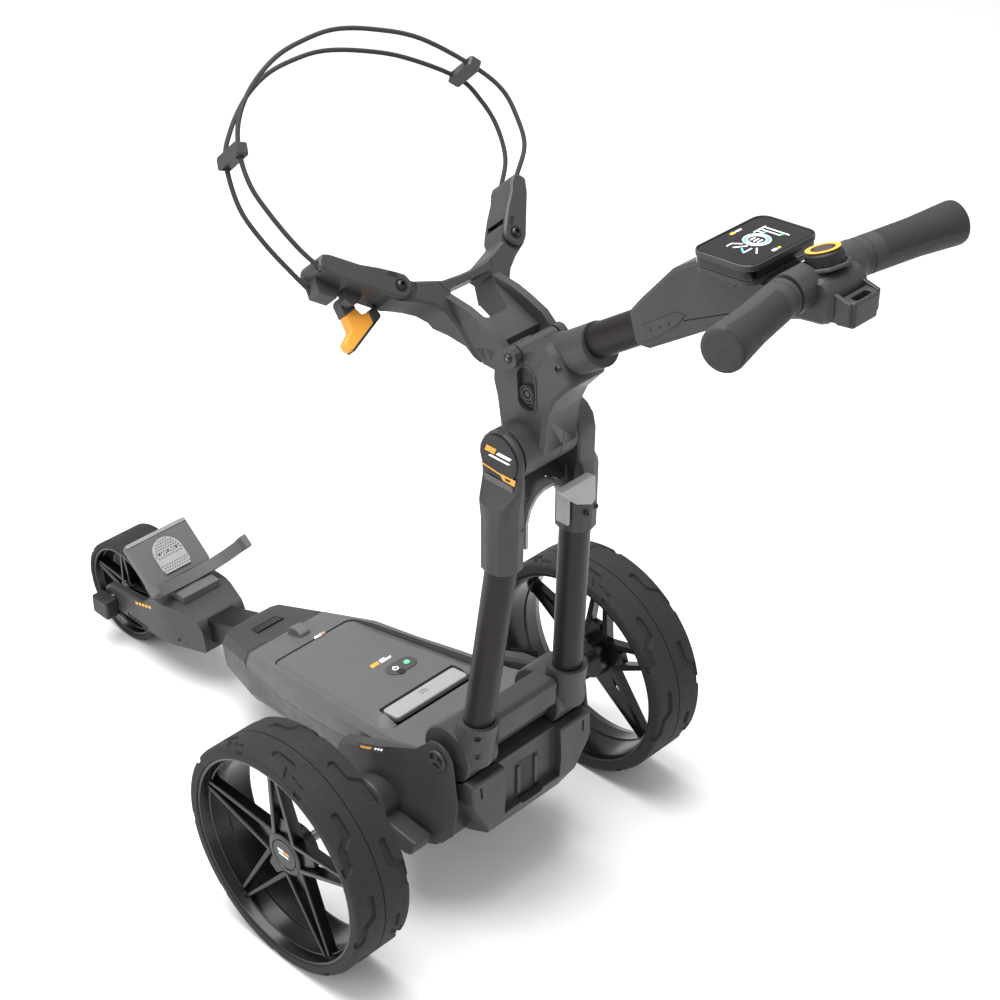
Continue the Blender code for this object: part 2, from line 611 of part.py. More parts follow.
def ellipse(centre, half_x, half_y, steps=16):
    points = arc((0, 0), 1, 0, 360, steps)[:-1]
    return [centre + Vector((half_x * u, half_y * v, 0)) for u, v in points]


def make_socket(word, side):
    low, high = sorted((side * KNUCKLE_X[0], side * KNUCKLE_X[1]))
    ends = LEG_PIVOT + Vector((low, 0, 0)), LEG_PIVOT + Vector((high, 0, 0))
    socket = add_piece(word + "_socket", cylinder_mesh("knuckle", *ends, KNUCKLE_R, 32), "legs", "frame_plastic", 0.002)
    stations = ((0.240, 0.0226, 0.0265), (0.268, 0.0232, 0.0240), (0.2955, 0.0234, 0.0236))
    along = LEG_HEAD - LEG_FOOT
    rings = []
    for z, half_x, half_y in stations:
        centre = LEG_FOOT + along * ((z - LEG_FOOT.z) / along.z)
        centre.y += 0.004 * (0.2955 - z) / 0.0555
        rings.append(ellipse(mirror_x(centre, side), half_x, half_y))
    join(socket, loft_mesh("sleeve", rings))
    foot, head = mirror_x(LEG_FOOT, side), mirror_x(LEG_HEAD, side)
    cut(socket, cylinder_mesh("tube_hole", foot - (head - foot) * 0.001, head, LEG_TUBE_R + GAP, 24))
    pin = Vector((0.2, 0, 0))
    cut(socket, cylinder_mesh("pin_hole", LEG_PIVOT - pin, LEG_PIVOT + pin, 0.0063))
    add_piece(word + "_leg_tube", cylinder_mesh("tube", foot, head, LEG_TUBE_R, 24), "legs", "tube_metal")


def make_saddle():
    """The web between the sockets, hollowed around the chassis' pivot barrel."""
    centre = (LEG_PIVOT.y, LEG_PIVOT.z)
    outline = arc(centre, 0.0240, 80, 165, 6) + [(-0.1890, 0.2520), (-0.1905, 0.2830), (-0.1850, 0.2880), (-0.1530, 0.2800)]
    mesh = prism_mesh("saddle", SIDE, outline, -0.0477, 0.0477)
    add_piece("leg_saddle", mesh, "legs", "frame_plastic", 0.0015)


# z: (left cheek's inner x, right cheek's inner x, outer x, middle y, half y)
YOKE_SECTIONS = {
    0.5070: (0.0349, 0.0349, 0.0775, -0.2040, 0.0225),
    0.5700: (0.0349, 0.0349, 0.0772, -0.2045, 0.0228),
    0.5880: (0.0380, 0.0340, 0.0760, -0.2040, 0.0245),
    0.6080: (0.0478, 0.0300, 0.0578, -0.2025, 0.0275),
    0.6388: (0.0478, 0.0300, 0.0575, -0.2018, 0.0290),
    0.6530: (0.0478, 0.0300, 0.0575, -0.2018, 0.0253),
    0.6620: (0.0478, 0.0300, 0.0573, -0.2018, 0.0172),
    0.6675: (0.0478, 0.0300, 0.0570, -0.2018, 0.0055),
}


def yoke_cheek_mesh(side):
    rings = []
    for z, (left_inner, right_inner, outer, mid_y, half_y) in YOKE_SECTIONS.items():
        inner = left_inner if side < 0 else right_inner
        corner = 0.46 * (outer - inner) if z < 0.60 else min(0.0045, half_y * 0.6)
        outline = rounded_box(inner, outer, mid_y - half_y, mid_y + half_y, corner)
        rings.append([(side * x, y, z) for x, y in outline])
    return loft_mesh("cheek", rings)


ARCH_UNDERSIDE = [(0.0360, 0.5560), (0.0300, 0.5720), (0.0200, 0.5830), (0.0080, 0.5880)]


def make_yoke():
    """Two cheeks around the handle's barrel, one casting with the arched bridge below it."""
    yoke = add_piece("leg_yoke", yoke_cheek_mesh(-1), "legs", "frame_plastic")
    bridge = [(0, 0.5880)] + ARCH_UNDERSIDE[::-1] + [(0.0480, 0.5500), (0.0480, 0.6050)]
    join(yoke, prism_mesh("bridge", REAR, mirrored(bridge), 0.1830, 0.2120))
    room = [(-0.1780, 0.6120), (-0.2200, 0.5740), (-0.2400, 0.6120)]
    cut(yoke, prism_mesh("folded_head_room", SIDE, room, -0.0300, 0.0296))
    join(yoke, yoke_cheek_mesh(1))
    for side in (-1, 1):
        foot, head = mirror_x(LEG_FOOT, side), mirror_x(LEG_HEAD, side)
        cut(yoke, cylinder_mesh("tube_hole", foot, head + (head - foot) * 0.002, LEG_TUBE_R + GAP, 24))
    pin = Vector((0.079, 0, 0))
    cut(yoke, cylinder_mesh("pin_hole", HANDLE_PIVOT - pin, HANDLE_PIVOT + pin, 0.0063))
    pin.x = 0.0565
    barrel_pin = cylinder_mesh("barrel_pin", HANDLE_PIVOT - pin, HANDLE_PIVOT + pin, 0.006)
    add_piece("barrel_pin", barrel_pin, "legs", "steel")
    badge = arc((HANDLE_PIVOT.y, HANDLE_PIVOT.z), 0.0262, -62, 242, 16)
    add_piece("badge_plate", prism_mesh("badge", SIDE, badge, -0.0598, -0.0581), "legs", "frame_plastic")


def make_fold_lever():
    """An arch under the bridge with a thumb paddle behind its right end, pulled to free the handle."""
    outer = [(0, 0.5855), (0.0075, 0.5855), (0.0190, 0.5805), (0.0285, 0.5695), (0.0335, 0.5530), (0.0335, 0.5200)]
    inner = [(0.0295, 0.5200), (0.0295, 0.5520), (0.0250, 0.5665), (0.0165, 0.5765), (0.0065, 0.5812), (0, 0.5812)]
    right = outer + inner
    arch = right + [(-x, z) for x, z in reversed(right) if x > 0]
    lever = add_piece("fold_lever", prism_mesh("arch", REAR, arch, 0.2000, 0.2165), "fold_lever", "lever_grey")
    neck = [(0.0080, 0.5845), (0.0185, 0.5797), (0.0275, 0.5690), (0.0256, 0.5672), (0.0168, 0.5772), (0.0072, 0.5816)]
    join(lever, prism_mesh("neck", REAR, neck, 0.2100, 0.2350))
    paddle = [(-0.0080, 0.5915), (0.0020, 0.5790), (0.0145, 0.5670), (0.0380, 0.5560), (0.0440, 0.5600)]
    paddle += [(0.0430, 0.5890), (0.0380, 0.5915)]
    join(lever, prism_mesh("paddle", REAR, paddle, 0.2335, 0.2430))


# ------------------------------------------------------------------ head and handle
def tube_line(y):
    """The point of the handle tube's axis at this y."""
    return TUBE_LINE_POINT + TUBE_LINE_DIR * ((y - TUBE_LINE_POINT.y) / TUBE_LINE_DIR.y)


def make_head():
    outline = [(-0.1740, 0.6350), (-0.1700, 0.6570), (-0.1655, 0.6850), (-0.1605, 0.7020), (-0.1610, 0.7170)]
    outline += [(-0.1700, 0.7280), (-0.1950, 0.7475), (-0.2089, 0.7560), (-0.2350, 0.7690), (-0.2520, 0.7620)]
    outline += [(-0.2700, 0.7360)]
    outline += [(-0.2463, 0.7085), (-0.2360, 0.6850), (-0.2300, 0.6350)]
    mesh = prism_mesh("head", SIDE, outline[::-1], -0.0275, 0.0275)
    head = add_piece("head_housing", mesh, "handle", "frame_plastic", 0.004)
    low, high = (HANDLE_PIVOT + Vector((x, 0, 0)) for x in BARREL_X)
    join(head, cylinder_mesh("barrel", low, high, BARREL_R, 32))
    half = Vector((0.0270, 0, 0))
    join(head, cylinder_mesh("bracket_barrel", BRACKET_PIVOT - half, BRACKET_PIVOT + half, BRACKET_BARREL_R, 24))
    sag = Vector((0, TUBE_LINE_DIR.z, -TUBE_LINE_DIR.y)) * -0.0040
    join(head, cylinder_mesh("collar", tube_line(-0.2150) + sag, tube_line(-0.2800) + sag, 0.0236, 28))
    cut(head, cylinder_mesh("tube_hole", tube_line(-0.2330), tube_line(-0.32), HANDLE_TUBE_R + GAP, 24))
    pin = Vector((0.1, 0, 0))
    cut(head, cylinder_mesh("pin_hole", HANDLE_PIVOT - pin, HANDLE_PIVOT + pin, 0.0063))
    cut(head, cylinder_mesh("bracket_hole", BRACKET_PIVOT - pin, BRACKET_PIVOT + pin, 0.0043))
    tube = cylinder_mesh("tube", tube_line(-0.2335), tube_line(-0.3950), HANDLE_TUBE_R, 24)
    add_piece("handle_tube", tube, "handle", "tube_metal")


def bar_route(reach):
    right = [GRIP_INNER, GRIP_INNER + (GRIP_OUTER - GRIP_INNER) * reach]
    return [mirror_x(p, -1) for p in reversed(right)] + right


def make_console():
    outline = [(-0.3370, 0.8460), (-0.3510, 0.8650), (-0.3870, 0.9090), (-0.4250, 0.9350), (-0.4950, 0.9365)]
    outline += [(-0.5130, 0.9500), (-0.5530, 0.9590), (-0.5640, 0.9480), (-0.5640, 0.9235), (-0.5570, 0.9165)]
    outline += [(-0.5300, 0.9125)]
    outline += [(-0.4700, 0.8890), (-0.4095, 0.8470), (-0.3640, 0.8170), (-0.3480, 0.8150)]
    mesh = prism_mesh("console", SIDE, outline, -0.0270, 0.0270)
    console = add_piece("console_housing", mesh, "handle", "frame_plastic", 0.004)
    half = Vector((0.0455, 0, 0))
    join(console, cylinder_mesh("bar_sleeve", BAR_CENTRE - half, BAR_CENTRE + half, 0.0190, 28))
    cut(console, cylinder_mesh("tube_hole", tube_line(-0.30), tube_line(-0.3955), HANDLE_TUBE_R + GAP, 24))
    cut(console, rod_mesh("bar_hole", bar_route(0.9), BAR_R + GAP))
    cut(console, cylinder_mesh("knob_room", KNOB_BASE, KNOB_BASE + KNOB_AXIS * 0.05, KNOB_R + 0.0012, 24))
    add_piece("handle_bar", rod_mesh("bar", bar_route(0.85), BAR_R), "handle", "steel")
    pad = rounded_box(-0.0490, 0.0490, -0.0330, 0.0330, 0.0120)
    add_piece("display_unit", prism_mesh("display", DISPLAY, pad, -0.0150, 0), "handle", "screen_glass", 0.002)


def make_grip(word, side):
    inner, outer = mirror_x(GRIP_INNER, side), mirror_x(GRIP_OUTER, side)
    length = (outer - inner).length
    profile = [(0, 0), (0, GRIP_R[0]), (length * 0.6, GRIP_R[1]), (length - 0.003, GRIP_R[2])]
    profile += [(length, GRIP_R[2] - 0.003), (length + 0.001, 0)]
    mesh = turned_mesh("grip", profile, inner, outer - inner, 24)
    grip = add_piece(word + "_grip", mesh, "handle", "grip_rubber")
    cut(grip, rod_mesh("bar_hole", bar_route(0.86), BAR_R + GAP))


def make_accessory_mount():
    """A ring behind the bar that takes an umbrella or a scorecard holder."""
    outline = [(-0.0170, MOUNT_REAR_Y), (0.0170, MOUNT_REAR_Y), (0.0220, -0.5646), (-0.0220, -0.5646)]
    mesh = prism_mesh("mount", TOP, outline, 0.9190, 0.9440)
    mount = add_piece("accessory_mount", mesh, "handle", "frame_plastic", 0.002)
    window = rounded_box(-0.0115, 0.0115, -0.5780, -0.5712, 0.002, 1)
    cut(mount, prism_mesh("window", TOP, window, 0.85, 1.0))


def make_knob():
    profile = [(0.0006, 0), (0.0006, KNOB_R), (KNOB_HEIGHT - 0.003, KNOB_R - 0.001), (KNOB_HEIGHT, KNOB_R - 0.004)]
    profile += [(KNOB_HEIGHT, 0)]
    knob = add_piece("speed_knob", turned_mesh("knob", profile, KNOB_BASE, KNOB_AXIS, 24), "speed_knob", "frame_plastic")
    floor, rim = KNOB_BASE + KNOB_AXIS * (KNOB_HEIGHT - 0.006), KNOB_BASE + KNOB_AXIS * 0.03
    cut(knob, cylinder_mesh("button_well", floor, rim, 0.0092, 20))
    low, high = KNOB_BASE + KNOB_AXIS * (KNOB_HEIGHT - 0.004), KNOB_BASE + KNOB_AXIS * (KNOB_HEIGHT + 0.0005)
    add_piece("knob_button", cylinder_mesh("button", low, high, 0.0088, 20), "knob_button", "lever_grey")


# ------------------------------------------------------------------ bag bracket
def make_bracket():
    bolt = Vector((*ARM_BOLT, 0))
    ear = arc(ARM_BOLT, 0.0150, -60, 120, 6)
    right = [(0.0420, 0.0000), (0.0405, 0.0300), (0.0415, 0.0500), (0.0468, 0.0709), (0.0560, 0.0820)]
    right += [(0.0700, 0.0915)] + ear + [(0.0640, 0.1125), (0.0376, 0.1030), (0.0300, 0.1005), (0.0050, 0.0985)]
    mesh = prism_mesh("bracket", BRACKET, mirrored(right), -BRACKET_DEPTH, 0)
    bracket = add_piece("bag_bracket", mesh, "bag_bracket", "frame_plastic", 0.0025)
    window = mirrored([(0.0130, 0.0455), (0.0175, 0.0490), (0.0305, 0.0845), (0.0270, 0.0895)])
    ear_side = plane(BRACKET_FOOT, BRACKET.col[1].to_3d(), BRACKET.col[2].to_3d())
    heel = [(-0.03, -0.06), (0.0660, -0.06), (0.0640, -0.0360), (0.0450, -0.0190), (0.0310, -0.0070)]
    heel += [(0.0060, 0.0010), (-0.03, 0.0010)]
    cut(bracket, prism_mesh("heel", ear_side, heel, -0.06, 0.06))
    slope = [(0.0075, 0.0004), (0.0330, -0.0045), (0.0830, -0.0045), (0.0600, 0.0060), (0.0420, 0.0150)]
    slope += [(0.0170, 0.0270), (0.0110, 0.0235)]
    join(bracket, prism_mesh("slope", ear_side, slope, -0.0330, 0.0330))
    cut(bracket, prism_mesh("window", BRACKET, window, -0.1, 0.1))
    outline = [(0.0070, 0.0022), (0.0340, -0.0055), (0.0800, -0.0060), (0.0850, -0.0010), (0.0620, 0.0190)]
    outline += [(0.0460, 0.0290), (0.0250, 0.0400)]
    outline += arc((-0.0013, 0.0421), 0.0110, 0, 180, 6) + [(-0.0100, 0.0200)]
    for side in (-1, 1):
        low, high = sorted((side * 0.0292, side * 0.0385))
        join(bracket, prism_mesh("ear", ear_side, outline, low, high))
    room = Vector((0.0290, 0, 0))
    cut(bracket, cylinder_mesh("barrel_room", BRACKET_PIVOT - room, BRACKET_PIVOT + room, BRACKET_BARREL_R + 0.0012, 24))
    for side in (-1, 1):
        hole = [BRACKET @ Vector((side * bolt.x, bolt.y, w)) for w in (-0.1, 0.1)]
        cut(bracket, cylinder_mesh("bolt_hole", *hole, 0.0037, 16))
        for low, high in ((-0.05, BRACKET_EAR[0]), (BRACKET_EAR[1], 0.05)):
            ends = [BRACKET @ Vector((side * bolt.x, bolt.y, w)) for w in (low, high)]
            cut(bracket, cylinder_mesh("ear_face", *ends, 0.0195, 20))
    pin = Vector((0.1, 0, 0))
    cut(bracket, cylinder_mesh("pin_hole", BRACKET_PIVOT - pin, BRACKET_PIVOT + pin, 0.0043))
    pin.x = 0.0410
    add_piece("bracket_pin", cylinder_mesh("pin", BRACKET_PIVOT - pin, BRACKET_PIVOT + pin, 0.004, 16), "handle", "steel")


ARM_LOW, ARM_HIGH = -0.0410, 0.0020
# arm: (heading in the bracket's plane, length from the bolt to the tip)
ARMS = {"left": (142.5, 0.0920), "right": (51.5, 0.0690)}


def arm_frame(word):
    """The bracket's plane on the arm's bolt: the first axis along the arm, the second towards the bag."""
    side = -1 if word == "left" else 1
    heading = math.radians(ARMS[word][0])
    origin = BRACKET @ Vector((side * ARM_BOLT[0], ARM_BOLT[1], 0))
    across, up, out = (BRACKET.col[i].to_3d() for i in range(3))
    along = across * math.cos(heading) + up * math.sin(heading)
    return plane(origin, along, out.cross(along) * side)


def make_arm(word):
    """A channel that grips the bracket's ear on both sides and holds the strap's cords at its tip."""
    frame = arm_frame(word)
    length = ARMS[word][1]
    side = -1 if word == "left" else 1
    low, high = sorted((side * ARM_LOW, side * ARM_HIGH))
    outline = arc((0, 0), 0.0138, 75, 270, 6) + [(0.0280, -0.0128), (length * 0.75, -0.0115)]
    outline += [(length - 0.002, -0.0080), (length, 0), (length - 0.003, 0.0075), (length - 0.012, 0.0095)]
    outline += [(0.0460, 0.0090), (0.0250, 0.0120)]
    arm = add_piece(word + "_arm", prism_mesh("arm", frame, outline, low, high), word + "_arm", "frame_plastic", 0.002)
    if word == "left":
        block = [(0.0560, -0.0060), (0.0860, -0.0060), (0.0835, -0.0150), (0.0790, -0.0245), (0.0600, -0.0250)]
        join(arm, prism_mesh("cord_block", frame, block, 0.0180, 0.0400))
        lug = [(0.0300, -0.0090), (0.0540, -0.0090), (0.0500, -0.0235), (0.0430, -0.0270), (0.0370, -0.0235)]
        join(arm, prism_mesh("lever_lug", frame, lug, 0.0180, 0.0305))
    room = arc((0, 0), 0.0190, 0, 360, 16)[:-1]
    low, high = sorted((side * (BRACKET_EAR[0] - 0.0007), side * (BRACKET_EAR[1] + 0.0007)))
    cut(arm, prism_mesh("ear_room", frame, room, low, high))
    ends = [frame @ Vector((0, 0, side * depth)) for depth in (ARM_LOW + 0.001, ARM_HIGH - 0.001)]
    join(arm, cylinder_mesh("bolt", *ends, 0.0034, 16))
    for depth, points in STRANDS.values():
        end, after = points[:2] if word == "left" else points[:-3:-1]
        end, after = BRACKET @ Vector((*end, depth)), BRACKET @ Vector((*after, depth))
        pull = (after - end).normalized()
        cut(arm, cylinder_mesh("cord_hole", end - pull * 0.001, end + pull * 0.016, CORD_R + 0.0008, 16))


def make_strap_lever():
    """The cam lever under the left arm's tip that tightens the strap."""
    frame = plane(BRACKET @ Vector((-0.1280, 0.1240, 0)), BRACKET.col[0].to_3d(), BRACKET.col[1].to_3d())
    outline = arc((0, 0), 0.0068, 20, 200, 5) + [(-0.0095, -0.0270), (-0.0235, -0.0355), (-0.0230, -0.0435)]
    outline += [(-0.0180, -0.0465), (0.0300, -0.0265), (0.0260, -0.0170), (0.0120, -0.0175), (0.0090, -0.0100)]
    lever = prism_mesh("lever", frame, outline, -0.0440, -0.0310)
    add_piece("strap_lever", lever, "strap_lever", "accent_orange", 0.0015)


# ------------------------------------------------------------------ strap
# each strand's route in the bracket's plane, from the left arm's tip over the top to the right arm's
LEFT_CLIP, RIGHT_CLIP = (-0.1710, 0.2980), (0.1430, 0.2930)
STRANDS = {
    "upper_strap": (-0.005, (
        (-0.1525, 0.1605), (-0.1650, 0.1900), (-0.1750, 0.2290), (-0.1790, 0.2630), LEFT_CLIP, (-0.1530, 0.3270),
        (-0.1220, 0.3520), (-0.0800, 0.3710), (-0.0400, 0.3780), (0.0040, 0.3780), (0.0500, 0.3640),
        (0.0980, 0.3390), RIGHT_CLIP, (0.1640, 0.2580), (0.1640, 0.2240), (0.1540, 0.1930), (0.1215, 0.1650),
    )),
    "lower_strap": (-0.035, (
        (-0.1540, 0.1450), (-0.1650, 0.1740), (-0.1770, 0.2120), (-0.1825, 0.2520), LEFT_CLIP, (-0.1500, 0.3240),
        (-0.1150, 0.3500), (-0.0780, 0.3655), (-0.0400, 0.3705), (0.0000, 0.3690), (0.0450, 0.3555),
        (0.0920, 0.3330), RIGHT_CLIP, (0.1570, 0.2600), (0.1590, 0.2280), (0.1480, 0.1930), (0.1215, 0.1650),
    )),
}
STRAP_STEPS = 2


def smooth_route(points, steps):
    """A Catmull-Rom curve through the points, with this many steps between two of them."""
    ends = [points[0] * 2 - points[1]] + list(points) + [points[-1] * 2 - points[-2]]
    route = []
    for a, b, c, d in zip(ends, ends[1:], ends[2:], ends[3:]):
        for i in range(steps):
            t = i / steps
            route.append(0.5 * (2 * b + (c - a) * t + (2 * a - 5 * b + 4 * c - d) * t**2 + (3 * b - a - 3 * c + d) * t**3))
    return route + [points[-1]]


def make_cord(name, depth, points):
    curve = bpy.data.curves.new(name, "CURVE")
    curve.dimensions = "3D"
    curve.bevel_depth = CORD_R
    curve.bevel_resolution = 2
    curve.use_fill_caps = True
    route = smooth_route([BRACKET @ Vector((x, s, depth)) for x, s in points], STRAP_STEPS)
    spline = curve.splines.new("POLY")
    spline.points.add(len(route) - 1)
    for place, point in zip(spline.points, route):
        place.co = (*(point - BODIES["bag_bracket"][1]), 1)
    curve.materials.append(PAINTS["cord_elastic"])
    cord = bpy.data.objects.new(name, curve)
    cord.parent = EMPTIES["bag_bracket"]
    bpy.context.collection.objects.link(cord)


def make_clip(name, index):
    """A bar that keeps the two strands apart, on both routes' point of this number."""
    depths = [depth for depth, route in STRANDS.values()]
    route = STRANDS["upper_strap"][1]
    (x, s), before, after = route[index], route[index - 1], route[index + 1]
    heading = BRACKET.col[0].to_3d() * (after[0] - before[0]) + BRACKET.col[1].to_3d() * (after[1] - before[1])
    frame = plane(BRACKET @ Vector((x, s, 0)), heading, BRACKET.col[2].to_3d())
    middle = sum(depths) / 2
    outline = rounded_box(-0.0070, 0.0070, middle - 0.0220, middle + 0.0220, 0.002, 1)
    clip = add_piece(name, prism_mesh("clip", frame, outline, -0.0060, 0.0060), "bag_bracket", "frame_plastic")
    for depth in depths:
        ends = frame @ Vector((-0.02, depth, 0)), frame @ Vector((0.02, depth, 0))
        cut(clip, cylinder_mesh("cord_hole", *ends, CORD_R + 0.0018, 12))


# ------------------------------------------------------------------ rear catch
def make_rear_catch():
    outline = rounded_box(-0.0100, 0.0100, 0.1590, 0.1680, 0.002, 1)
    add_piece("rear_catch", prism_mesh("catch", REAR, outline, 0.1725, 0.1865), "rear_catch", "lever_grey")


def make_trolley():
    make_tray()
    make_cover()
    make_nose()
    make_fairings()
    make_rear_housing()
    make_pivot_pin()
    make_drive()
    make_gears()
    make_rear_wheels()
    make_front_wheel()
    make_fork()
    make_front_tube()
    make_cradle()
    make_wheel_release()
    make_battery()
    for word, side in (("left", -1), ("right", 1)):
        make_socket(word, side)
    make_saddle()
    make_yoke()
    make_fold_lever()
    make_head()
    make_console()
    for word, side in (("left", -1), ("right", 1)):
        make_grip(word, side)
    make_accessory_mount()
    make_knob()
    make_bracket()
    for word in ARMS:
        make_arm(word)
    make_strap_lever()
    for name, (depth, points) in STRANDS.items():
        make_cord(name, depth, points)
    make_clip("left_clip", 4)
    make_clip("right_clip", 12)
    make_rear_catch()


for leftover in list(bpy.data.objects):
    bpy.data.objects.remove(leftover, do_unlink=True)
PAINTS = {paint: make_material(paint) for paint in MATERIALS}
EMPTIES = make_empties()
make_trolley()
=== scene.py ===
"""Looks of the electric golf trolley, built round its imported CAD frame.

Metres, +Z up, +Y the direction of travel. Shapes are written in the part's layout coordinates, whose Y = 0
lies a little behind the middle of the trolley, and LAYOUT carries them to the frame. Most pieces start from
a CAD node: its flat triangles are merged, details are cut into it or added, and its edges are rounded.
"""

import json
import math

import bmesh
import bpy
from mathutils import Matrix, Vector

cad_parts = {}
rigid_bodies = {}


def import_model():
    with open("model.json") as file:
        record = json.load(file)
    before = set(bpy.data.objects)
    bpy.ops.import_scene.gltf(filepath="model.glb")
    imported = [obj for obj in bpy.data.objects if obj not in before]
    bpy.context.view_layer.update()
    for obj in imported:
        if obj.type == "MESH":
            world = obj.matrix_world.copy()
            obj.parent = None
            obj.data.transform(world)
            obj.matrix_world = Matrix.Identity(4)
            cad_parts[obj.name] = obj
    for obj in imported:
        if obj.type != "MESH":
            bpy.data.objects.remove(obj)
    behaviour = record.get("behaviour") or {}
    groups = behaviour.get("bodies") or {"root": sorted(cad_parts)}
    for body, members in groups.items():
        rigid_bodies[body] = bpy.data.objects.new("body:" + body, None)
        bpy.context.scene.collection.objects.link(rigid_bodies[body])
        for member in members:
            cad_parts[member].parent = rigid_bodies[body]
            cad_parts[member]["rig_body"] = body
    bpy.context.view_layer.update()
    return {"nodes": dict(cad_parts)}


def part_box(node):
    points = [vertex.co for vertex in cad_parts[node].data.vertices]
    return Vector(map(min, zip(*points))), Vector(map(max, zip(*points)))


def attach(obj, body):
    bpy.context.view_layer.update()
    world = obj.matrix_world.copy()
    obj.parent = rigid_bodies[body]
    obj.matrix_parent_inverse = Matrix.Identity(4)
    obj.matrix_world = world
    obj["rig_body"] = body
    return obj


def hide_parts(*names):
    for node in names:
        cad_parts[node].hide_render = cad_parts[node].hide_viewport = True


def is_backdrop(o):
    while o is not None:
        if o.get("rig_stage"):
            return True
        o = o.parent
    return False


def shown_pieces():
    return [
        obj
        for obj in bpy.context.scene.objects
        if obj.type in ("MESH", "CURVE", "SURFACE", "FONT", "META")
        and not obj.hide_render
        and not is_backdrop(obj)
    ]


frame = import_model()

# ------------------------------------------------------------------ driving dimensions
REAR_AXLE = Vector((0, -0.067, 0.145))
REAR_TYRE_R = 0.145
RIM_R = 0.1308
WHEEL_MID_X = 0.2438
WHEEL_HALF_WIDTH = 0.0392
FRONT_AXLE = Vector((0, 0.5455, 0.0735))
FRONT_TYRE_R = 0.0735
FRONT_RIM_R = 0.0660
FRONT_HALF_WIDTH = 0.035
LEG_PIVOT = Vector((0, -0.156, 0.243))
HANDLE_PIVOT = Vector((0, -0.2018, 0.6388))
TUBE_LINE_POINT = Vector((0, -0.3066, 0.8014))
TUBE_LINE_DIR = Vector((0, -0.822, 0.570)).normalized()
GRIP_INNER = Vector((0.0500, -0.5310, 0.9445))
GRIP_OUTER = Vector((0.1630, -0.5570, 0.9490))
GRIP_R = (0.0178, 0.0185, 0.0208)
KNOB_BASE = Vector((0, -0.5362, 0.9583))
KNOB_TILT = math.radians(20)
BRACKET_ANGLE = math.atan2(0.743, 0.669)
BRACKET_FOOT = Vector((0, -0.1627, 0.7167))
ARM_BOLT = (0.0812, 0.1134)
CORD_R = 0.0025
BATTERY_TOP = (0.198, -0.136)

tyre_low, tyre_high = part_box("left_tyre")
LAYOUT = Matrix.Translation((0, (tyre_low.y + tyre_high.y) / 2 - REAR_AXLE.y, 0))

# ------------------------------------------------------------------ camera, light and floor
CAMERA_PLACE = Vector((-1.35106, -1.48010, 1.80528))
CAMERA_AZIMUTH = math.radians(-45.354)
CAMERA_ELEVATION = math.radians(33.804)
CAMERA_LENS = 77.02


def make_camera():
    camera = bpy.data.objects.new("camera", bpy.data.cameras.new("camera"))
    a, e = CAMERA_AZIMUTH, CAMERA_ELEVATION
    back = Vector((math.sin(a) * math.cos(e), -math.cos(a) * math.cos(e), math.sin(e)))
    camera.location = LAYOUT @ CAMERA_PLACE
    camera.rotation_euler = (-back).to_track_quat("-Z", "Y").to_euler()
    camera.data.lens = CAMERA_LENS
    bpy.context.scene.collection.objects.link(camera)
    bpy.context.scene.camera = camera


def make_light(name, place, size, power):
    light = bpy.data.lights.new(name, "AREA")
    light.size = size
    light.energy = power
    lamp = bpy.data.objects.new(name, light)
    lamp.location = place
    lamp.rotation_euler = (Vector((0, 0, 0.3)) - Vector(place)).to_track_quat("-Z", "Y").to_euler()
    bpy.context.scene.collection.objects.link(lamp)


def make_studio():
    world = bpy.data.worlds.new("studio")
    bpy.context.scene.world = world
    world.use_nodes = True
    sky = world.node_tree.nodes["Background"]
    sky.inputs["Color"].default_value = (1.0, 1.0, 1.0, 1)
    sky.inputs["Strength"].default_value = 0.62
    make_light("overhead", (-0.3, 0.4, 3.2), 2.6, 150)
    make_light("left", (-3.2, 0.8, 1.9), 1.8, 22)
    make_light("right_rear", (2.2, -2.2, 1.8), 1.8, 4)
    bpy.context.scene.view_settings.view_transform = "Standard"
    floor_mesh = bpy.data.meshes.new("floor")
    corners = [(-12, -12, 0), (12, -12, 0), (12, 12, 0), (-12, 12, 0)]
    floor_mesh.from_pydata(corners, [], [(0, 1, 2, 3)])
    floor = bpy.data.objects.new("floor", floor_mesh)
    bpy.context.scene.collection.objects.link(floor)
    paint = bpy.data.materials.new("floor")
    paint.use_nodes = True
    paint.node_tree.nodes["Principled BSDF"].inputs["Base Color"].default_value = (0.94, 0.94, 0.945, 1)
    paint.node_tree.nodes["Principled BSDF"].inputs["Roughness"].default_value = 0.9
    floor_mesh.materials.append(paint)
    floor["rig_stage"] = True


# ------------------------------------------------------------------ planes and outlines
def plane(origin, u, v):
    """The matrix that carries (u, v, w) to layout coordinates, w being the normal u x v."""
    u, v = Vector(u).normalized(), Vector(v).normalized()
    matrix = Matrix((u, v, u.cross(v))).transposed().to_4x4()
    matrix.translation = origin
    return matrix


ORIGIN = Vector((0, 0, 0))
SIDE = plane(ORIGIN, (0, 1, 0), (0, 0, 1))  # outline (y, z), depth x
REAR = plane(ORIGIN, (1, 0, 0), (0, 0, 1))  # outline (x, z), depth -y
TOP = plane(ORIGIN, (1, 0, 0), (0, 1, 0))  # outline (x, y), depth z
BRACKET = plane(BRACKET_FOOT, (1, 0, 0), (0, math.cos(BRACKET_ANGLE), math.sin(BRACKET_ANGLE)))
CRADLE = plane((0, 0.4515, 0.1343), (1, 0, 0), (0, 0.770, 0.638))
DISPLAY = plane((0, -0.4594, 0.9540), (1, 0, 0), (0, 0.9975, -0.070))
KNOB_AXIS = Vector((0, math.sin(KNOB_TILT), math.cos(KNOB_TILT)))
BATTERY_TILT = math.atan(BATTERY_TOP[1])
DECK = plane((0, 0, BATTERY_TOP[0]), (1, 0, 0), (0, math.cos(BATTERY_TILT), math.sin(BATTERY_TILT)))


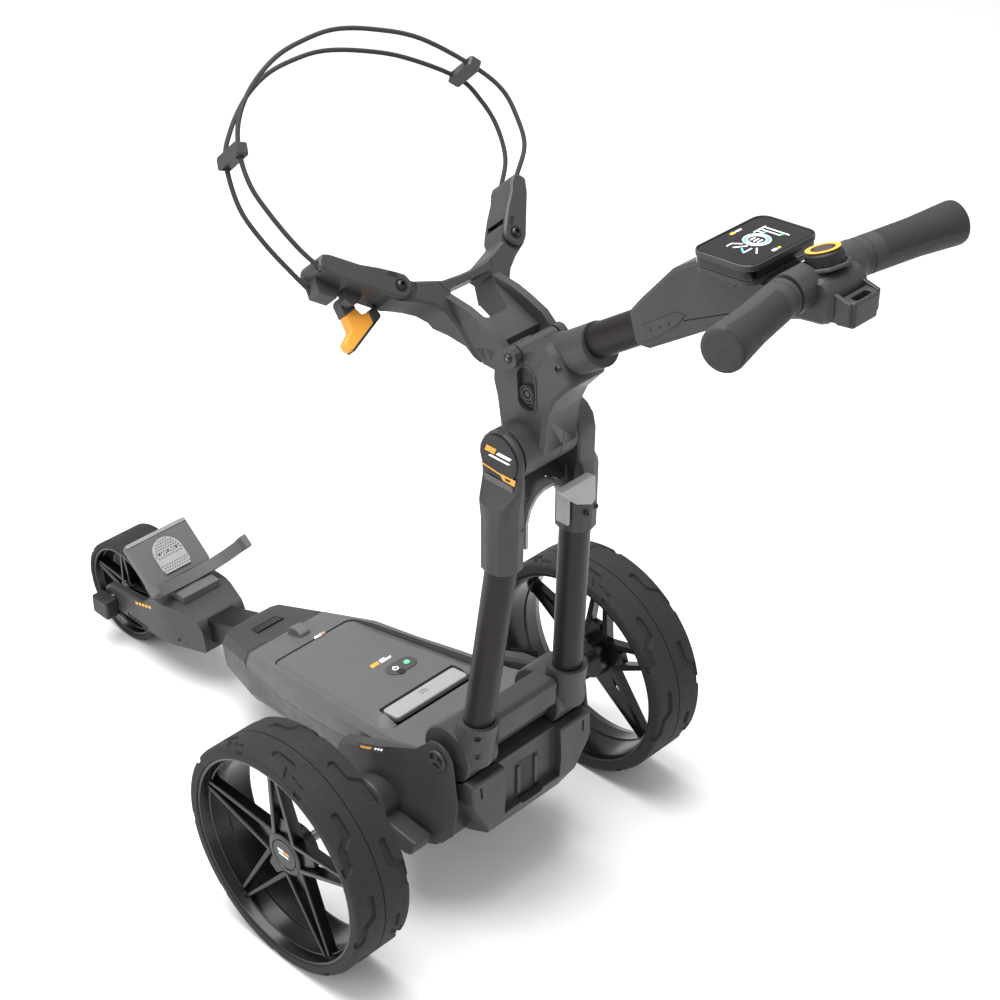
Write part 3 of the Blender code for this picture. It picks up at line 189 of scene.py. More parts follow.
def arc(centre, radius, start, end, steps):
    """Points on a circle from start to end degrees, both ends included."""
    angles = (math.radians(start + (end - start) * i / steps) for i in range(steps + 1))
    return [(centre[0] + radius * math.cos(a), centre[1] + radius * math.sin(a)) for a in angles]


def rounded_box(x0, x1, y0, y1, radius, steps=5):
    corners = (((x1, y1), 0), ((x0, y1), 90), ((x0, y0), 180), ((x1, y0), 270))
    outline = []
    for (x, y), start in corners:
        inward = (x - math.copysign(radius, x - (x0 + x1) / 2), y - math.copysign(radius, y - (y0 + y1) / 2))
        outline += arc(inward, radius, start, start + 90, steps)
    return outline


def mirrored(right_half):
    """An outline from its right half, listed from the bottom of the middle line to the top."""
    return list(right_half) + [(-x, y) for x, y in reversed(right_half) if x > 1e-9]


def mirror_x(point, side):
    return Vector((side * point.x, point.y, point.z))


def tube_line(y):
    """The point at this y on the upper tube's middle line."""
    return TUBE_LINE_POINT + TUBE_LINE_DIR * ((y - TUBE_LINE_POINT.y) / TUBE_LINE_DIR.y)


def smooth_route(points, steps):
    """A curve through the points, with this many steps between two of them."""
    ends = [2 * points[0] - points[1]] + list(points) + [2 * points[-1] - points[-2]]
    route = []
    for a, b, c, d in zip(ends, ends[1:], ends[2:], ends[3:]):
        for i in range(steps):
            t = i / steps
            route.append(
                0.5 * (2 * b + (c - a) * t + (2 * a - 5 * b + 4 * c - d) * t**2 + (3 * b - a - 3 * c + d) * t**3)
            )
    return route + [points[-1]]


# ------------------------------------------------------------------ meshes
def mesh_from(name, points, faces, flat_map=None):
    """A mesh in the frame's coordinates. flat_map gives each point's place on a flattened surface, in metres."""
    mesh = bpy.data.meshes.new(name)
    mesh.from_pydata([LAYOUT @ Vector(p) for p in points], [], faces)
    tidy = bmesh.new()
    tidy.from_mesh(mesh)
    bmesh.ops.recalc_face_normals(tidy, faces=tidy.faces)
    if flat_map:
        layer = tidy.loops.layers.uv.new("UVMap")
        for face in tidy.faces:
            for loop in face.loops:
                loop[layer].uv = flat_map[loop.vert.index]
    tidy.to_mesh(mesh)
    tidy.free()
    return mesh


def loft(name, rings, flat_map=None, capped=True):
    count = len(rings[0])
    points = [p for ring in rings for p in ring]
    faces = [list(range(count)), list(range(len(points) - count, len(points)))] if capped else []
    for i in range(len(rings) - 1):
        for j in range(count):
            k = (j + 1) % count
            faces.append([i * count + j, i * count + k, (i + 1) * count + k, (i + 1) * count + j])
    return mesh_from(name, points, faces, flat_map)


def prism(name, plane_matrix, outline, low, high):
    return loft(name, [[plane_matrix @ Vector((u, v, w)) for u, v in outline] for w in (low, high)])


def turned(name, profile, start, axis, segments=48, ring=False, shape=None):
    """A profile of (distance along the axis, radius) turned about an axis. A ring never meets the axis.

    shape(angle, index, along, radius) may give each point another (along, radius)."""
    axis = Vector(axis).normalized()
    side = axis.orthogonal().normalized()
    other = axis.cross(side)
    points, rings, flat_map = [], [], []
    travelled = 0
    for index, (along, radius) in enumerate(profile):
        if index:
            travelled += math.dist(profile[index - 1], profile[index])
        if radius == 0:
            rings.append([len(points)] * segments)
            points.append(Vector(start) + axis * along)
            flat_map.append((travelled, 0))
            continue
        rings.append(list(range(len(points), len(points) + segments)))
        for j in range(segments):
            a = 2 * math.pi * j / segments
            reach, r = shape(a, index, along, radius) if shape else (along, radius)
            points.append(Vector(start) + axis * reach + r * (math.cos(a) * side + math.sin(a) * other))
            flat_map.append((travelled, abs(math.pi - a) * radius))
    pairs = list(zip(rings, rings[1:]))
    if ring:
        pairs.append((rings[-1], rings[0]))
    faces = []
    for low, high in pairs:
        for j in range(segments):
            k = (j + 1) % segments
            corners = list(dict.fromkeys((low[j], low[k], high[k], high[j])))
            if len(corners) > 2:
                faces.append(corners)
    return mesh_from(name, points, faces, flat_map)


def rod(name, start, end, radius, segments=32):
    start, end = Vector(start), Vector(end)
    length = (end - start).length
    return turned(name, [(0, 0), (0, radius), (length, radius), (length, 0)], start, end - start, segments)


def tube_along(name, route, radius, sides=12):
    rings, flat_map, travelled = [], [], 0
    for i, point in enumerate(route):
        before, after = route[max(i - 1, 0)], route[min(i + 1, len(route) - 1)]
        direction = (after - before).normalized()
        across = direction.cross(Vector((0, 0.2, 1))).normalized()
        matrix = plane(point, across, direction.cross(across))
        travelled += (point - route[max(i - 1, 0)]).length
        rings.append([matrix @ Vector((u, v, 0)) for u, v in arc((0, 0), radius, 0, 360, sides)[:-1]])
        flat_map += [(travelled, abs(sides / 2 - j) / sides) for j in range(sides)]
    return loft(name, rings, flat_map)


def merged(name, meshes):
    """One mesh from several."""
    whole = bmesh.new()
    for mesh in meshes:
        whole.from_mesh(mesh)
        bpy.data.meshes.remove(mesh)
    mesh = bpy.data.meshes.new(name)
    whole.to_mesh(mesh)
    whole.free()
    return mesh


# ------------------------------------------------------------------ pieces
TOOLS = []


def round_edges(piece, width, steps):
    soften = piece.modifiers.new("edges", "BEVEL")
    soften.width = width
    soften.segments = steps
    soften.limit_method = "ANGLE"
    soften.angle_limit = math.radians(28)
    soften.harden_normals = True
    soften.use_clamp_overlap = True


def add_piece(name, mesh, body, paint, edge=0.0, steps=2):
    piece = bpy.data.objects.new(name, mesh)
    bpy.context.scene.collection.objects.link(piece)
    mesh.materials.clear()
    mesh.materials.append(paint)
    mesh.shade_smooth()
    mesh.set_sharp_from_angle(angle=math.radians(40))
    piece["edge"] = (edge, steps)
    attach(piece, body)
    return piece


def refine(node, paint, edge=0.0008, steps=2, name=None):
    """A finer piece that stands for a CAD node: its flat triangles merged, and its edges to be rounded."""
    cad = frame["nodes"][node]
    tidy = bmesh.new()
    tidy.from_mesh(cad.data)
    bmesh.ops.remove_doubles(tidy, verts=tidy.verts, dist=2e-5)
    bmesh.ops.dissolve_limit(tidy, angle_limit=math.radians(2), verts=tidy.verts, edges=tidy.edges)
    mesh = bpy.data.meshes.new(name or node)
    tidy.to_mesh(mesh)
    tidy.free()
    piece = add_piece(name or node + "_shell", mesh, cad["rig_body"], paint, edge, steps)
    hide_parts(node)
    return piece


def combine(piece, mesh, operation):
    tool = bpy.data.objects.new(piece.name + "_tool", mesh)
    bpy.context.scene.collection.objects.link(tool)
    tool.hide_render = True
    TOOLS.append(tool)
    change = piece.modifiers.new(operation.lower(), "BOOLEAN")
    change.operation = operation
    change.object = tool


def cut(piece, *meshes):
    for mesh in meshes:
        combine(piece, mesh, "DIFFERENCE")


def join(piece, *meshes):
    for mesh in meshes:
        combine(piece, mesh, "UNION")


def settle_pieces():
    """Applies every piece's cuts and rounded edges, and removes the tools that cut them."""
    made = [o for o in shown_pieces() if "edge" in o]
    for piece in made:
        width, steps = piece["edge"]
        if width:
            round_edges(piece, width, int(steps))
            even = piece.modifiers.new("even", "WEIGHTED_NORMAL")
            even.keep_sharp = True
    graph = bpy.context.evaluated_depsgraph_get()
    for piece in made:
        if piece.modifiers:
            mesh = bpy.data.meshes.new_from_object(piece.evaluated_get(graph))
            piece["settled"] = mesh.name
    for piece in made:
        if "settled" in piece:
            piece.modifiers.clear()
            piece.data = bpy.data.meshes[piece["settled"]]
            del piece["settled"]
        del piece["edge"]
    for tool in TOOLS:
        bpy.data.objects.remove(tool)


# ------------------------------------------------------------------ materials
class Recipe:
    """A material under construction, with short ways to add nodes."""

    def __init__(self, name, roughness=0.5, metallic=0.0):
        self.material = bpy.data.materials.new(name)
        self.material.use_nodes = True
        self.tree = self.material.node_tree
        self.shader = self.tree.nodes["Principled BSDF"]
        self.shader.inputs["Roughness"].default_value = roughness
        self.shader.inputs["Metallic"].default_value = metallic
        self.shader.inputs["Specular IOR Level"].default_value = 0.40
        self.coords = self.tree.nodes.new("ShaderNodeTexCoord")

    def link(self, source, target):
        if isinstance(source, (int, float)):
            target.default_value = source
        else:
            self.tree.links.new(source, target)

    def stretched(self, source, scale):
        mapping = self.tree.nodes.new("ShaderNodeMapping")
        mapping.inputs["Scale"].default_value = scale
        self.link(source, mapping.inputs["Vector"])
        return mapping.outputs["Vector"]

    def noise(self, scale, detail=3.0, source=None):
        node = self.tree.nodes.new("ShaderNodeTexNoise")
        node.inputs["Scale"].default_value = scale
        node.inputs["Detail"].default_value = detail
        self.link(source or self.coords.outputs["Object"], node.inputs["Vector"])
        return node.outputs["Fac"]

    def cells(self, scale, source=None):
        node = self.tree.nodes.new("ShaderNodeTexVoronoi")
        node.inputs["Scale"].default_value = scale
        self.link(source or self.coords.outputs["Object"], node.inputs["Vector"])
        return node.outputs["Distance"]

    def math(self, operation, a, b=0.0):
        node = self.tree.nodes.new("ShaderNodeMath")
        node.operation = operation
        self.link(a, node.inputs[0])
        self.link(b, node.inputs[1])
        return node.outputs[0]

    def span(self, value, low, high, to_low, to_high):
        node = self.tree.nodes.new("ShaderNodeMapRange")
        self.link(value, node.inputs["Value"])
        for label, number in (("From Min", low), ("From Max", high), ("To Min", to_low), ("To Max", to_high)):
            node.inputs[label].default_value = number
        return node.outputs["Result"]

    def mix(self, share, a, b):
        node = self.tree.nodes.new("ShaderNodeMix")
        node.data_type = "RGBA"
        self.link(share, node.inputs["Factor"])
        for colour, socket in ((a, node.inputs[6]), (b, node.inputs[7])):
            if isinstance(colour, tuple):
                socket.default_value = (*colour, 1)
            else:
                self.link(colour, socket)
        return node.outputs[2]

    def colour(self, source):
        self.link(source, self.shader.inputs["Base Color"])

    def roughness(self, source):
        self.link(source, self.shader.inputs["Roughness"])

    def bump(self, height, distance, strength=1.0, before=None):
        node = self.tree.nodes.new("ShaderNodeBump")
        node.inputs["Strength"].default_value = strength
        node.inputs["Distance"].default_value = distance
        self.link(height, node.inputs["Height"])
        if before:
            self.link(before, node.inputs["Normal"])
        self.link(node.outputs["Normal"], self.shader.inputs["Normal"])
        return node.outputs["Normal"]

    def worn_edges(self, base, worn, amount):
        """The base colour, going over to the worn one on outer edges."""
        geometry = self.tree.nodes.new("ShaderNodeNewGeometry")
        edge = self.span(geometry.outputs["Pointiness"], 0.505, 0.56, 0.0, amount)
        return self.mix(self.math("MULTIPLY", edge, self.noise(60)), base, worn)


def shade(colour, factor):
    return tuple(min(1.0, c * factor) for c in colour)


def plastic(name, colour, rough, grain=1400.0, depth=0.00006, spread=0.10):
    """Moulded plastic: a fine spark-eroded grain, slightly uneven colour and gloss, and lighter edges."""
    r = Recipe(name)
    tone = r.mix(r.noise(14, 2), shade(colour, 1 - spread), shade(colour, 1 + spread))
    speckle = r.mix(r.span(r.noise(2600, 2), 0.35, 0.7, 0, 0.22), tone, shade(colour, 1.35))
    r.colour(r.worn_edges(speckle, shade(colour, 1.7), 0.5))
    r.roughness(r.span(r.noise(45, 4), 0.3, 0.7, rough - 0.05, rough + 0.06))
    grains = r.math("ADD", r.cells(grain), r.math("MULTIPLY", r.noise(grain * 0.6), 0.6))
    r.bump(grains, depth)
    return r.material


def rubber(name, colour, rough):
    r = Recipe(name)
    dusty = r.span(r.noise(22, 6), 0.42, 0.75, 0.0, 0.35)
    r.colour(r.worn_edges(r.mix(dusty, colour, shade(colour, 1.35)), shade(colour, 1.5), 0.6))
    r.roughness(r.span(r.noise(160, 4), 0.3, 0.7, rough - 0.06, rough + 0.06))
    r.bump(r.math("ADD", r.noise(1900, 3), r.cells(900)), 0.00005)
    return r.material


def lacquer(name, colour, rough):
    """Glossy lacquer: a faint orange peel and a little haze."""
    r = Recipe(name)
    r.colour(r.worn_edges(r.mix(r.noise(9, 2), shade(colour, 0.85), shade(colour, 1.2)), shade(colour, 2.4), 0.6))
    r.roughness(r.span(r.noise(35, 5), 0.3, 0.75, rough, rough + 0.09))
    r.bump(r.noise(420, 1), 0.00002)
    return r.material


def anodised(name, colour, rough, stretch):
    """Anodised metal brushed along the direction with the small stretch value."""
    r = Recipe(name, metallic=0.55)
    lines = r.noise(1.0, 5, r.stretched(r.coords.outputs["Object"], stretch))
    r.colour(r.mix(lines, shade(colour, 0.85), shade(colour, 1.2)))
    r.roughness(r.span(lines, 0.3, 0.7, rough - 0.04, rough + 0.07))
    r.bump(lines, 0.00002)
    return r.material


def bright_metal(name, colour, rough):
    r = Recipe(name, metallic=1.0)
    r.colour(r.mix(r.noise(90, 4), shade(colour, 0.8), shade(colour, 1.1)))
    r.roughness(r.span(r.noise(240, 5), 0.3, 0.7, rough - 0.06, rough + 0.1))
    r.bump(r.noise(1500, 2), 0.00002)
    return r.material


def grip_skin(name, colour):
    """Soft grip rubber with small raised diamonds in long patches and plain bands between them."""
    r = Recipe(name)
    split = r.tree.nodes.new("ShaderNodeSeparateXYZ")
    r.link(r.coords.outputs["UV"], split.inputs[0])
    along, around = split.outputs[0], split.outputs[1]
    pitch = 2 * math.pi / 0.0036
    one = r.math("SINE", r.math("MULTIPLY", r.math("ADD", along, around), pitch))
    two = r.math("SINE", r.math("MULTIPLY", r.math("SUBTRACT", along, around), pitch))
    diamonds = r.span(r.math("MULTIPLY", one, two), -0.15, 0.25, 0.0, 1.0)
    first = r.span(r.math("ABSOLUTE", r.math("SUBTRACT", along, 0.078)), 0.046, 0.0475, 1.0, 0.0)
    top = r.span(r.math("ABSOLUTE", r.math("SUBTRACT", around, 0.036)), 0.0185, 0.0200, 1.0, 0.0)
    patch = r.math("MULTIPLY", first, top)
    height = r.math("MULTIPLY", diamonds, patch)
    r.colour(r.mix(r.math("MULTIPLY", height, 0.8), shade(colour, 1.15), shade(colour, 0.45)))
    r.roughness(r.span(r.noise(200, 4), 0.3, 0.7, 0.62, 0.78))
    base = r.bump(height, 0.0010)
    r.bump(r.noise(2200, 2), 0.00003, before=base)
    return r.material


def braid(name, colour):
    """The woven sleeve of an elastic cord."""
    r = Recipe(name, 0.8)
    split = r.tree.nodes.new("ShaderNodeSeparateXYZ")
    r.link(r.coords.outputs["UV"], split.inputs[0])
    along, around = split.outputs[0], split.outputs[1]
    turn = r.math("MULTIPLY", around, 2 * math.pi * 6)
    run = r.math("MULTIPLY", along, 2 * math.pi / 0.0045)
    one = r.math("SINE", r.math("ADD", run, turn))
    two = r.math("SINE", r.math("SUBTRACT", run, turn))
    weave = r.span(r.math("MULTIPLY", one, two), -0.6, 0.6, 0.0, 1.0)
    r.colour(r.mix(weave, shade(colour, 0.65), shade(colour, 1.25)))
    r.bump(weave, 0.0003)
    return r.material


# Emissive colour. The display's lines and the charge LED give their own light; on the white printed marks of the hub
# caps, battery top, side labels and badge, the glow is painted light.
def glow(name, colour, strength):
    r = Recipe(name, 0.25)
    r.colour(r.mix(r.noise(400, 2), shade(colour, 0.95), colour))
    r.shader.inputs["Emission Color"].default_value = (*colour, 1)
    r.shader.inputs["Emission Strength"].default_value = strength
    return r.material


FRAME_PLASTIC = plastic("frame_plastic", (0.034, 0.034, 0.035), 0.46)
COVER_PLASTIC = plastic("cover_plastic", (0.094, 0.094, 0.095), 0.50)
DARK_PLASTIC = plastic("dark_plastic", (0.010, 0.010, 0.0105), 0.50)
LIGHT_PLASTIC = plastic("lever_grey", (0.300, 0.301, 0.303), 0.42, 1800, 0.00003, 0.05)
BAND_PLASTIC = plastic("band_plastic", (0.230, 0.230, 0.232), 0.45)
PAD_PLASTIC = plastic("pad_plastic", (0.052, 0.052, 0.053), 0.45)
ORANGE_PLASTIC = plastic("accent_orange", (0.820, 0.330, 0.035), 0.42, 1800, 0.00003, 0.04)
TYRE_RUBBER = rubber("tyre_rubber", (0.017, 0.017, 0.018), 0.80)
RIM_LACQUER = lacquer("rim_gloss", (0.0040, 0.0040, 0.0042), 0.20)
TUBE_METAL = anodised("tube_metal", (0.020, 0.017, 0.016), 0.42, (900, 900, 25))
FRONT_TUBE_METAL = anodised("front_tube_metal", (0.020, 0.017, 0.016), 0.42, (900, 25, 900))
STEEL = bright_metal("steel", (0.20, 0.20, 0.205), 0.36)
DARK_STEEL = bright_metal("dark_steel", (0.06, 0.06, 0.062), 0.36)
GRIP_RUBBER = grip_skin("grip_rubber", (0.034, 0.034, 0.035))
CORD_BRAID = braid("cord_elastic", (0.034, 0.034, 0.035))
SCREEN_GLASS = lacquer("screen_glass", (0.004, 0.004, 0.005), 0.05)
BOARD_GREEN = plastic("board_green", (0.030, 0.120, 0.050), 0.5)
# The white marks glow: on the display this is the screen's light, on printed marks it is a painted glow.
WHITE_GLOW = glow("white_mark_glow", (0.85, 0.88, 0.90), 0.9)
CYAN_GLOW = glow("cyan_mark", (0.10, 0.62, 0.80), 0.9)
GREEN_GLOW = glow("green_mark", (0.10, 0.75, 0.25), 1.2)
YELLOW_GLOW = glow("yellow_mark", (0.90, 0.60, 0.08), 0.9)

make_camera()
make_studio()

# ------------------------------------------------------------------ the strap
LEFT_CLIP, RIGHT_CLIP = (-0.1710, 0.2980), (0.1430, 0.2930)
STRANDS = {
    "upper_strap": (-0.005, (
        (-0.1525, 0.1605), (-0.1650, 0.1900), (-0.1750, 0.2290), (-0.1790, 0.2630), LEFT_CLIP, (-0.1530, 0.3270),
        (-0.1220, 0.3520), (-0.0800, 0.3710), (-0.0400, 0.3780), (0.0040, 0.3780), (0.0500, 0.3640),
        (0.0980, 0.3390), RIGHT_CLIP, (0.1640, 0.2580), (0.1640, 0.2240), (0.1540, 0.1930), (0.1215, 0.1650),
    )),
    "lower_strap": (-0.035, (
        (-0.1540, 0.1450), (-0.1650, 0.1740), (-0.1770, 0.2120), (-0.1825, 0.2520), LEFT_CLIP, (-0.1500, 0.3240),
        (-0.1150, 0.3500), (-0.0780, 0.3655), (-0.0400, 0.3705), (0.0000, 0.3690), (0.0450, 0.3555),
        (0.0920, 0.3330), RIGHT_CLIP, (0.1570, 0.2600), (0.1590, 0.2280), (0.1480, 0.1930), (0.1215, 0.1650),
    )),
}


def make_strap():
    for node, (depth, points) in STRANDS.items():
        route = smooth_route([BRACKET @ Vector((x, s, depth)) for x, s in points], 6)
        strand = add_piece(node + "_cord", tube_along(node, route, CORD_R), "bag_bracket", CORD_BRAID)
        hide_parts(node)


make_strap()


# ------------------------------------------------------------------ wheels
# one recess of the tread: its middle line in metres, (round the tyre, out from the middle as a share of the half width)
HOOK_LINE = ((0.0100, 0.46), (0.0340, 0.46), (0.0440, 0.78), (0.0640, 0.82), (0.0700, 1.02))
HOOK_HALF_WIDTH = 0.0046
HOOK_EDGE = 0.0009


def line_distance(point, line):
    """How far a point lies from a chain of straight pieces."""
    best = 1.0
    for start, end in zip(line, line[1:]):
        run = end - start
        share = max(0.0, min(1.0, (point - start).dot(run) / run.length_squared))
        best = min(best, (point - start - run * share).length)
    return best


def tread_profile(half_width, inner_r, outer_r, shoulder, steps=7):
    """Half of the tyre's section, from its inner edge up to the middle of the tread."""
    side = [(-half_width + 0.0012, inner_r), (-half_width, inner_r + 0.0012), (-half_width, outer_r - shoulder)]
    corner = [(-half_width + shoulder - u, outer_r - shoulder + v) for u, v in arc((0, 0), shoulder, 0, 90, steps)]
    flat = half_width - shoulder
    crown = [(-flat * (1 - i / 26), outer_r) for i in range(1, 26)] + [(-0.0010, outer_r), (-0.0004, outer_r)]
    return side + corner[1:] + crown


def make_tyre(node, body, centre, half_width, inner_r, outer_r, blocks, segments):
    """A tyre with a line round its middle and hooked recesses along both shoulders."""
    half = tread_profile(half_width, inner_r, outer_r, (outer_r - inner_r) * 0.42)
    profile = half + [(-along, radius) for along, radius in reversed(half)]
    depth = (outer_r - inner_r) * 0.23
    block = 2 * math.pi * outer_r / blocks
    scale = block / 0.1012
    line = [Vector((u * scale, share * half_width)) for u, share in HOOK_LINE]

    def shape(angle, index, along, radius):
        share = along / half_width
        turn = (angle / (2 * math.pi) * blocks + (0.5 if share > 0 else 0.0)) % 1.0
        sunk = 0.0
        if 2 < index < len(profile) - 3 and abs(share) > 0.30:
            gap = line_distance(Vector((turn * block, abs(along))), line) - HOOK_HALF_WIDTH * scale
            sunk = max(0.0, min(1.0, 0.5 - gap / HOOK_EDGE))
        if abs(along) < 0.0006:
            sunk = 0.45
        return along - math.copysign(depth * 0.5 * sunk * (abs(share) > 0.93), share), radius - depth * sunk

    mesh = turned(node, profile, centre, (1, 0, 0), segments, ring=True, shape=shape)
    tyre = add_piece(node + "_tread", mesh, body, TYRE_RUBBER)
    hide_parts(node)


def blade(name, centre, side, turn, lean, sizes, x_levels):
    """One of a spoke's two blades: from the hub to the rim, leaning to one side of the spoke's line."""
    hub_r, rim_r, hub_half, rim_half = sizes
    rings = []
    for share in (0.0, 0.35, 0.7, 1.0):
        radius = hub_r + (rim_r - hub_r) * share
        offset = lean * (hub_half + (rim_half - hub_half) * share)
        thick = 0.0042 - 0.0010 * share
        face = x_levels[0] + (x_levels[1] - x_levels[0]) * share
        depth = 0.0150 - 0.0030 * share
        a = math.radians(turn)
        ring = []
        for across, out in ((-thick, -depth), (thick, -depth), (thick * 0.8, -0.001), (thick * 0.5, 0), (-thick * 0.5, 0), (-thick * 0.8, -0.001)):
            along = offset + across
            y = radius * math.cos(a) - along * math.sin(a)
            z = radius * math.sin(a) + along * math.cos(a)
            ring.append(centre + Vector((side * (face + out), y, z)))
        rings.append(ring)
    return loft(name, rings)


def make_rim(node, body, centre, side, sizes):
    """A stepped barrel, five forked spokes with open middles, and a hub with a round cap."""
    rim_r, barrel_r, half_width, hub_r, face_x, blades = sizes
    edge = 0.0022
    profile = [(half_width, rim_r - 0.0005), (half_width + 0.0006, rim_r - 0.0015), (half_width, rim_r - 0.0040)]
    profile += [(half_width * 0.93, rim_r - 0.0048), (half_width * 0.90, barrel_r + edge), (half_width * 0.72, barrel_r)]
    profile += [(half_width * 0.70, barrel_r - 0.0015), (half_width * 0.15, barrel_r - 0.0030)]
    profile += [(half_width * 0.10, barrel_r - 0.0015), (-half_width * 0.80, barrel_r), (-half_width, rim_r - 0.004)]
    profile += [(-half_width, rim_r - 0.0005)]
    profile = [(side * along, radius) for along, radius in profile]
    rim = add_piece(node + "_barrel", turned(node, profile, centre, (1, 0, 0), 120, ring=True), body, RIM_LACQUER, 0.0005)
    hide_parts(node)
    spokes = []
    for i in range(5):
        turn = 17 + 72 * i
        for lean in (-1, 1):
            spokes.append(blade("blade", centre, side, turn, lean, blades, face_x))
    web = []
    for i in range(5):
        a = math.radians(17 + 72 * i)
        for radius, across in ((hub_r * 0.7, -0.015), (hub_r * 1.75, -0.0075), (hub_r * 1.75, 0.0075), (hub_r * 0.7, 0.015)):
            web.append((radius * math.cos(a) - across * math.sin(a), radius * math.sin(a) + across * math.cos(a)))
    matrix = plane(centre, (0, 1, 0), (0, 0, 1))
    levels = sorted((side * (face_x[0] - 0.014), side * (face_x[0] - 0.0045)))
    spokes.append(prism("web", matrix, web, *levels))
    star = add_piece(node + "_spokes", merged(node, spokes), body, RIM_LACQUER, 0.0007)
    start = centre + Vector((side * (face_x[0] - 0.030), 0, 0))
    hub = [(0, 0), (0, hub_r * 0.94), (0.026, hub_r), (0.0292, hub_r - 0.0010), (0.0300, hub_r - 0.0032)]
    hub += [(0.0300, hub_r * 0.74), (0.0288, hub_r * 0.72), (0.0288, hub_r * 0.70), (0.0300, hub_r * 0.67), (0.0302, 0)]
    add_piece(node + "_hub", turned(node, hub, start, (side, 0, 0), 64), body, RIM_LACQUER)
    return star


def hub_mark(name, body, centre, side, x):
    """A generic mark on the hub cap: an orange bar and two pale ones."""
    matrix = plane(centre, (0, 1, 0), (0, 0, 1))
    # The two pale bars are white print given a painted glow.
    bars = ((-0.0095, -0.001, 0.0022, 0.0052, ORANGE_PLASTIC), (0.0005, 0.0092, 0.0022, 0.0052, WHITE_GLOW),
            (-0.0078, 0.0080, -0.0022, -0.0006, WHITE_GLOW))
    for i, (y0, y1, z0, z1, paint) in enumerate(bars):
        outline = [(y0, z0), (y1, z0), (y1 + 0.0014, z1), (y0 + 0.0014, z1)]
        outline = [(-side * y, z) for y, z in outline]
        mesh = prism(name, matrix, outline, *sorted((side * x, side * (x + 0.00025))))
        add_piece("%s_%d" % (name, i + 1), mesh, body, paint)


def make_wheels():
    for side, word in ((-1, "left"), (1, "right")):
        centre = REAR_AXLE + Vector((side * WHEEL_MID_X, 0, 0))
        make_tyre(word + "_tyre", "drive_axle", centre, WHEEL_HALF_WIDTH, RIM_R, REAR_TYRE_R, 9, 810)
        sizes = (RIM_R + 0.0004, 0.1235, 0.0372, 0.0275, (0.0200, 0.0290), (0.022, 0.1245, 0.0165, 0.0045))
        make_rim(word + "_rim", "drive_axle", centre, side, sizes)
        hub_mark(word + "_hub_mark", "drive_axle", centre, side, 0.0202)
    make_tyre("front_tyre", "front_wheel", FRONT_AXLE, FRONT_HALF_WIDTH, FRONT_RIM_R, FRONT_TYRE_R, 9, 450)
    sizes = (FRONT_RIM_R + 0.0004, 0.0615, 0.0330, 0.0150, (0.0260, 0.0290), (0.012, 0.0622, 0.0085, 0.0026))
    make_rim("front_rim", "front_wheel", FRONT_AXLE, -1, sizes)


make_wheels()


# ------------------------------------------------------------------ grips
def make_grip(word, side):
    inner, outer = mirror_x(GRIP_INNER, side), mirror_x(GRIP_OUTER, side)
    length = (outer - inner).length
    profile = [(0.0, 0.0100), (0.0, GRIP_R[0] - 0.0012), (0.0012, GRIP_R[0]), (0.0070, GRIP_R[0]), (0.0078, GRIP_R[0] - 0.0010)]
    profile += [(0.0094, GRIP_R[0] - 0.0010), (0.0102, GRIP_R[0] + 0.0001)]
    for i in range(1, 14):
        share = i / 14
        radius = GRIP_R[0] + 0.0006 * share + (GRIP_R[2] - GRIP_R[0] - 0.0006) * max(0.0, share - 0.55) / 0.45
        profile.append((0.0102 + (length - 0.0152) * share, radius))
    profile += [(length - 0.0045, GRIP_R[2]), (length - 0.0015, GRIP_R[2] - 0.0006), (length, GRIP_R[2] - 0.0022)]
    profile += [(length + 0.0006, GRIP_R[2] * 0.75), (length + 0.0008, 0)]
    grip = add_piece(word + "_grip_skin", turned("grip", profile, inner, outer - inner, 72), "handle", GRIP_RUBBER)
    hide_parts(word + "_grip")


for side, word in ((-1, "left"), (1, "right")):
    make_grip(word, side)

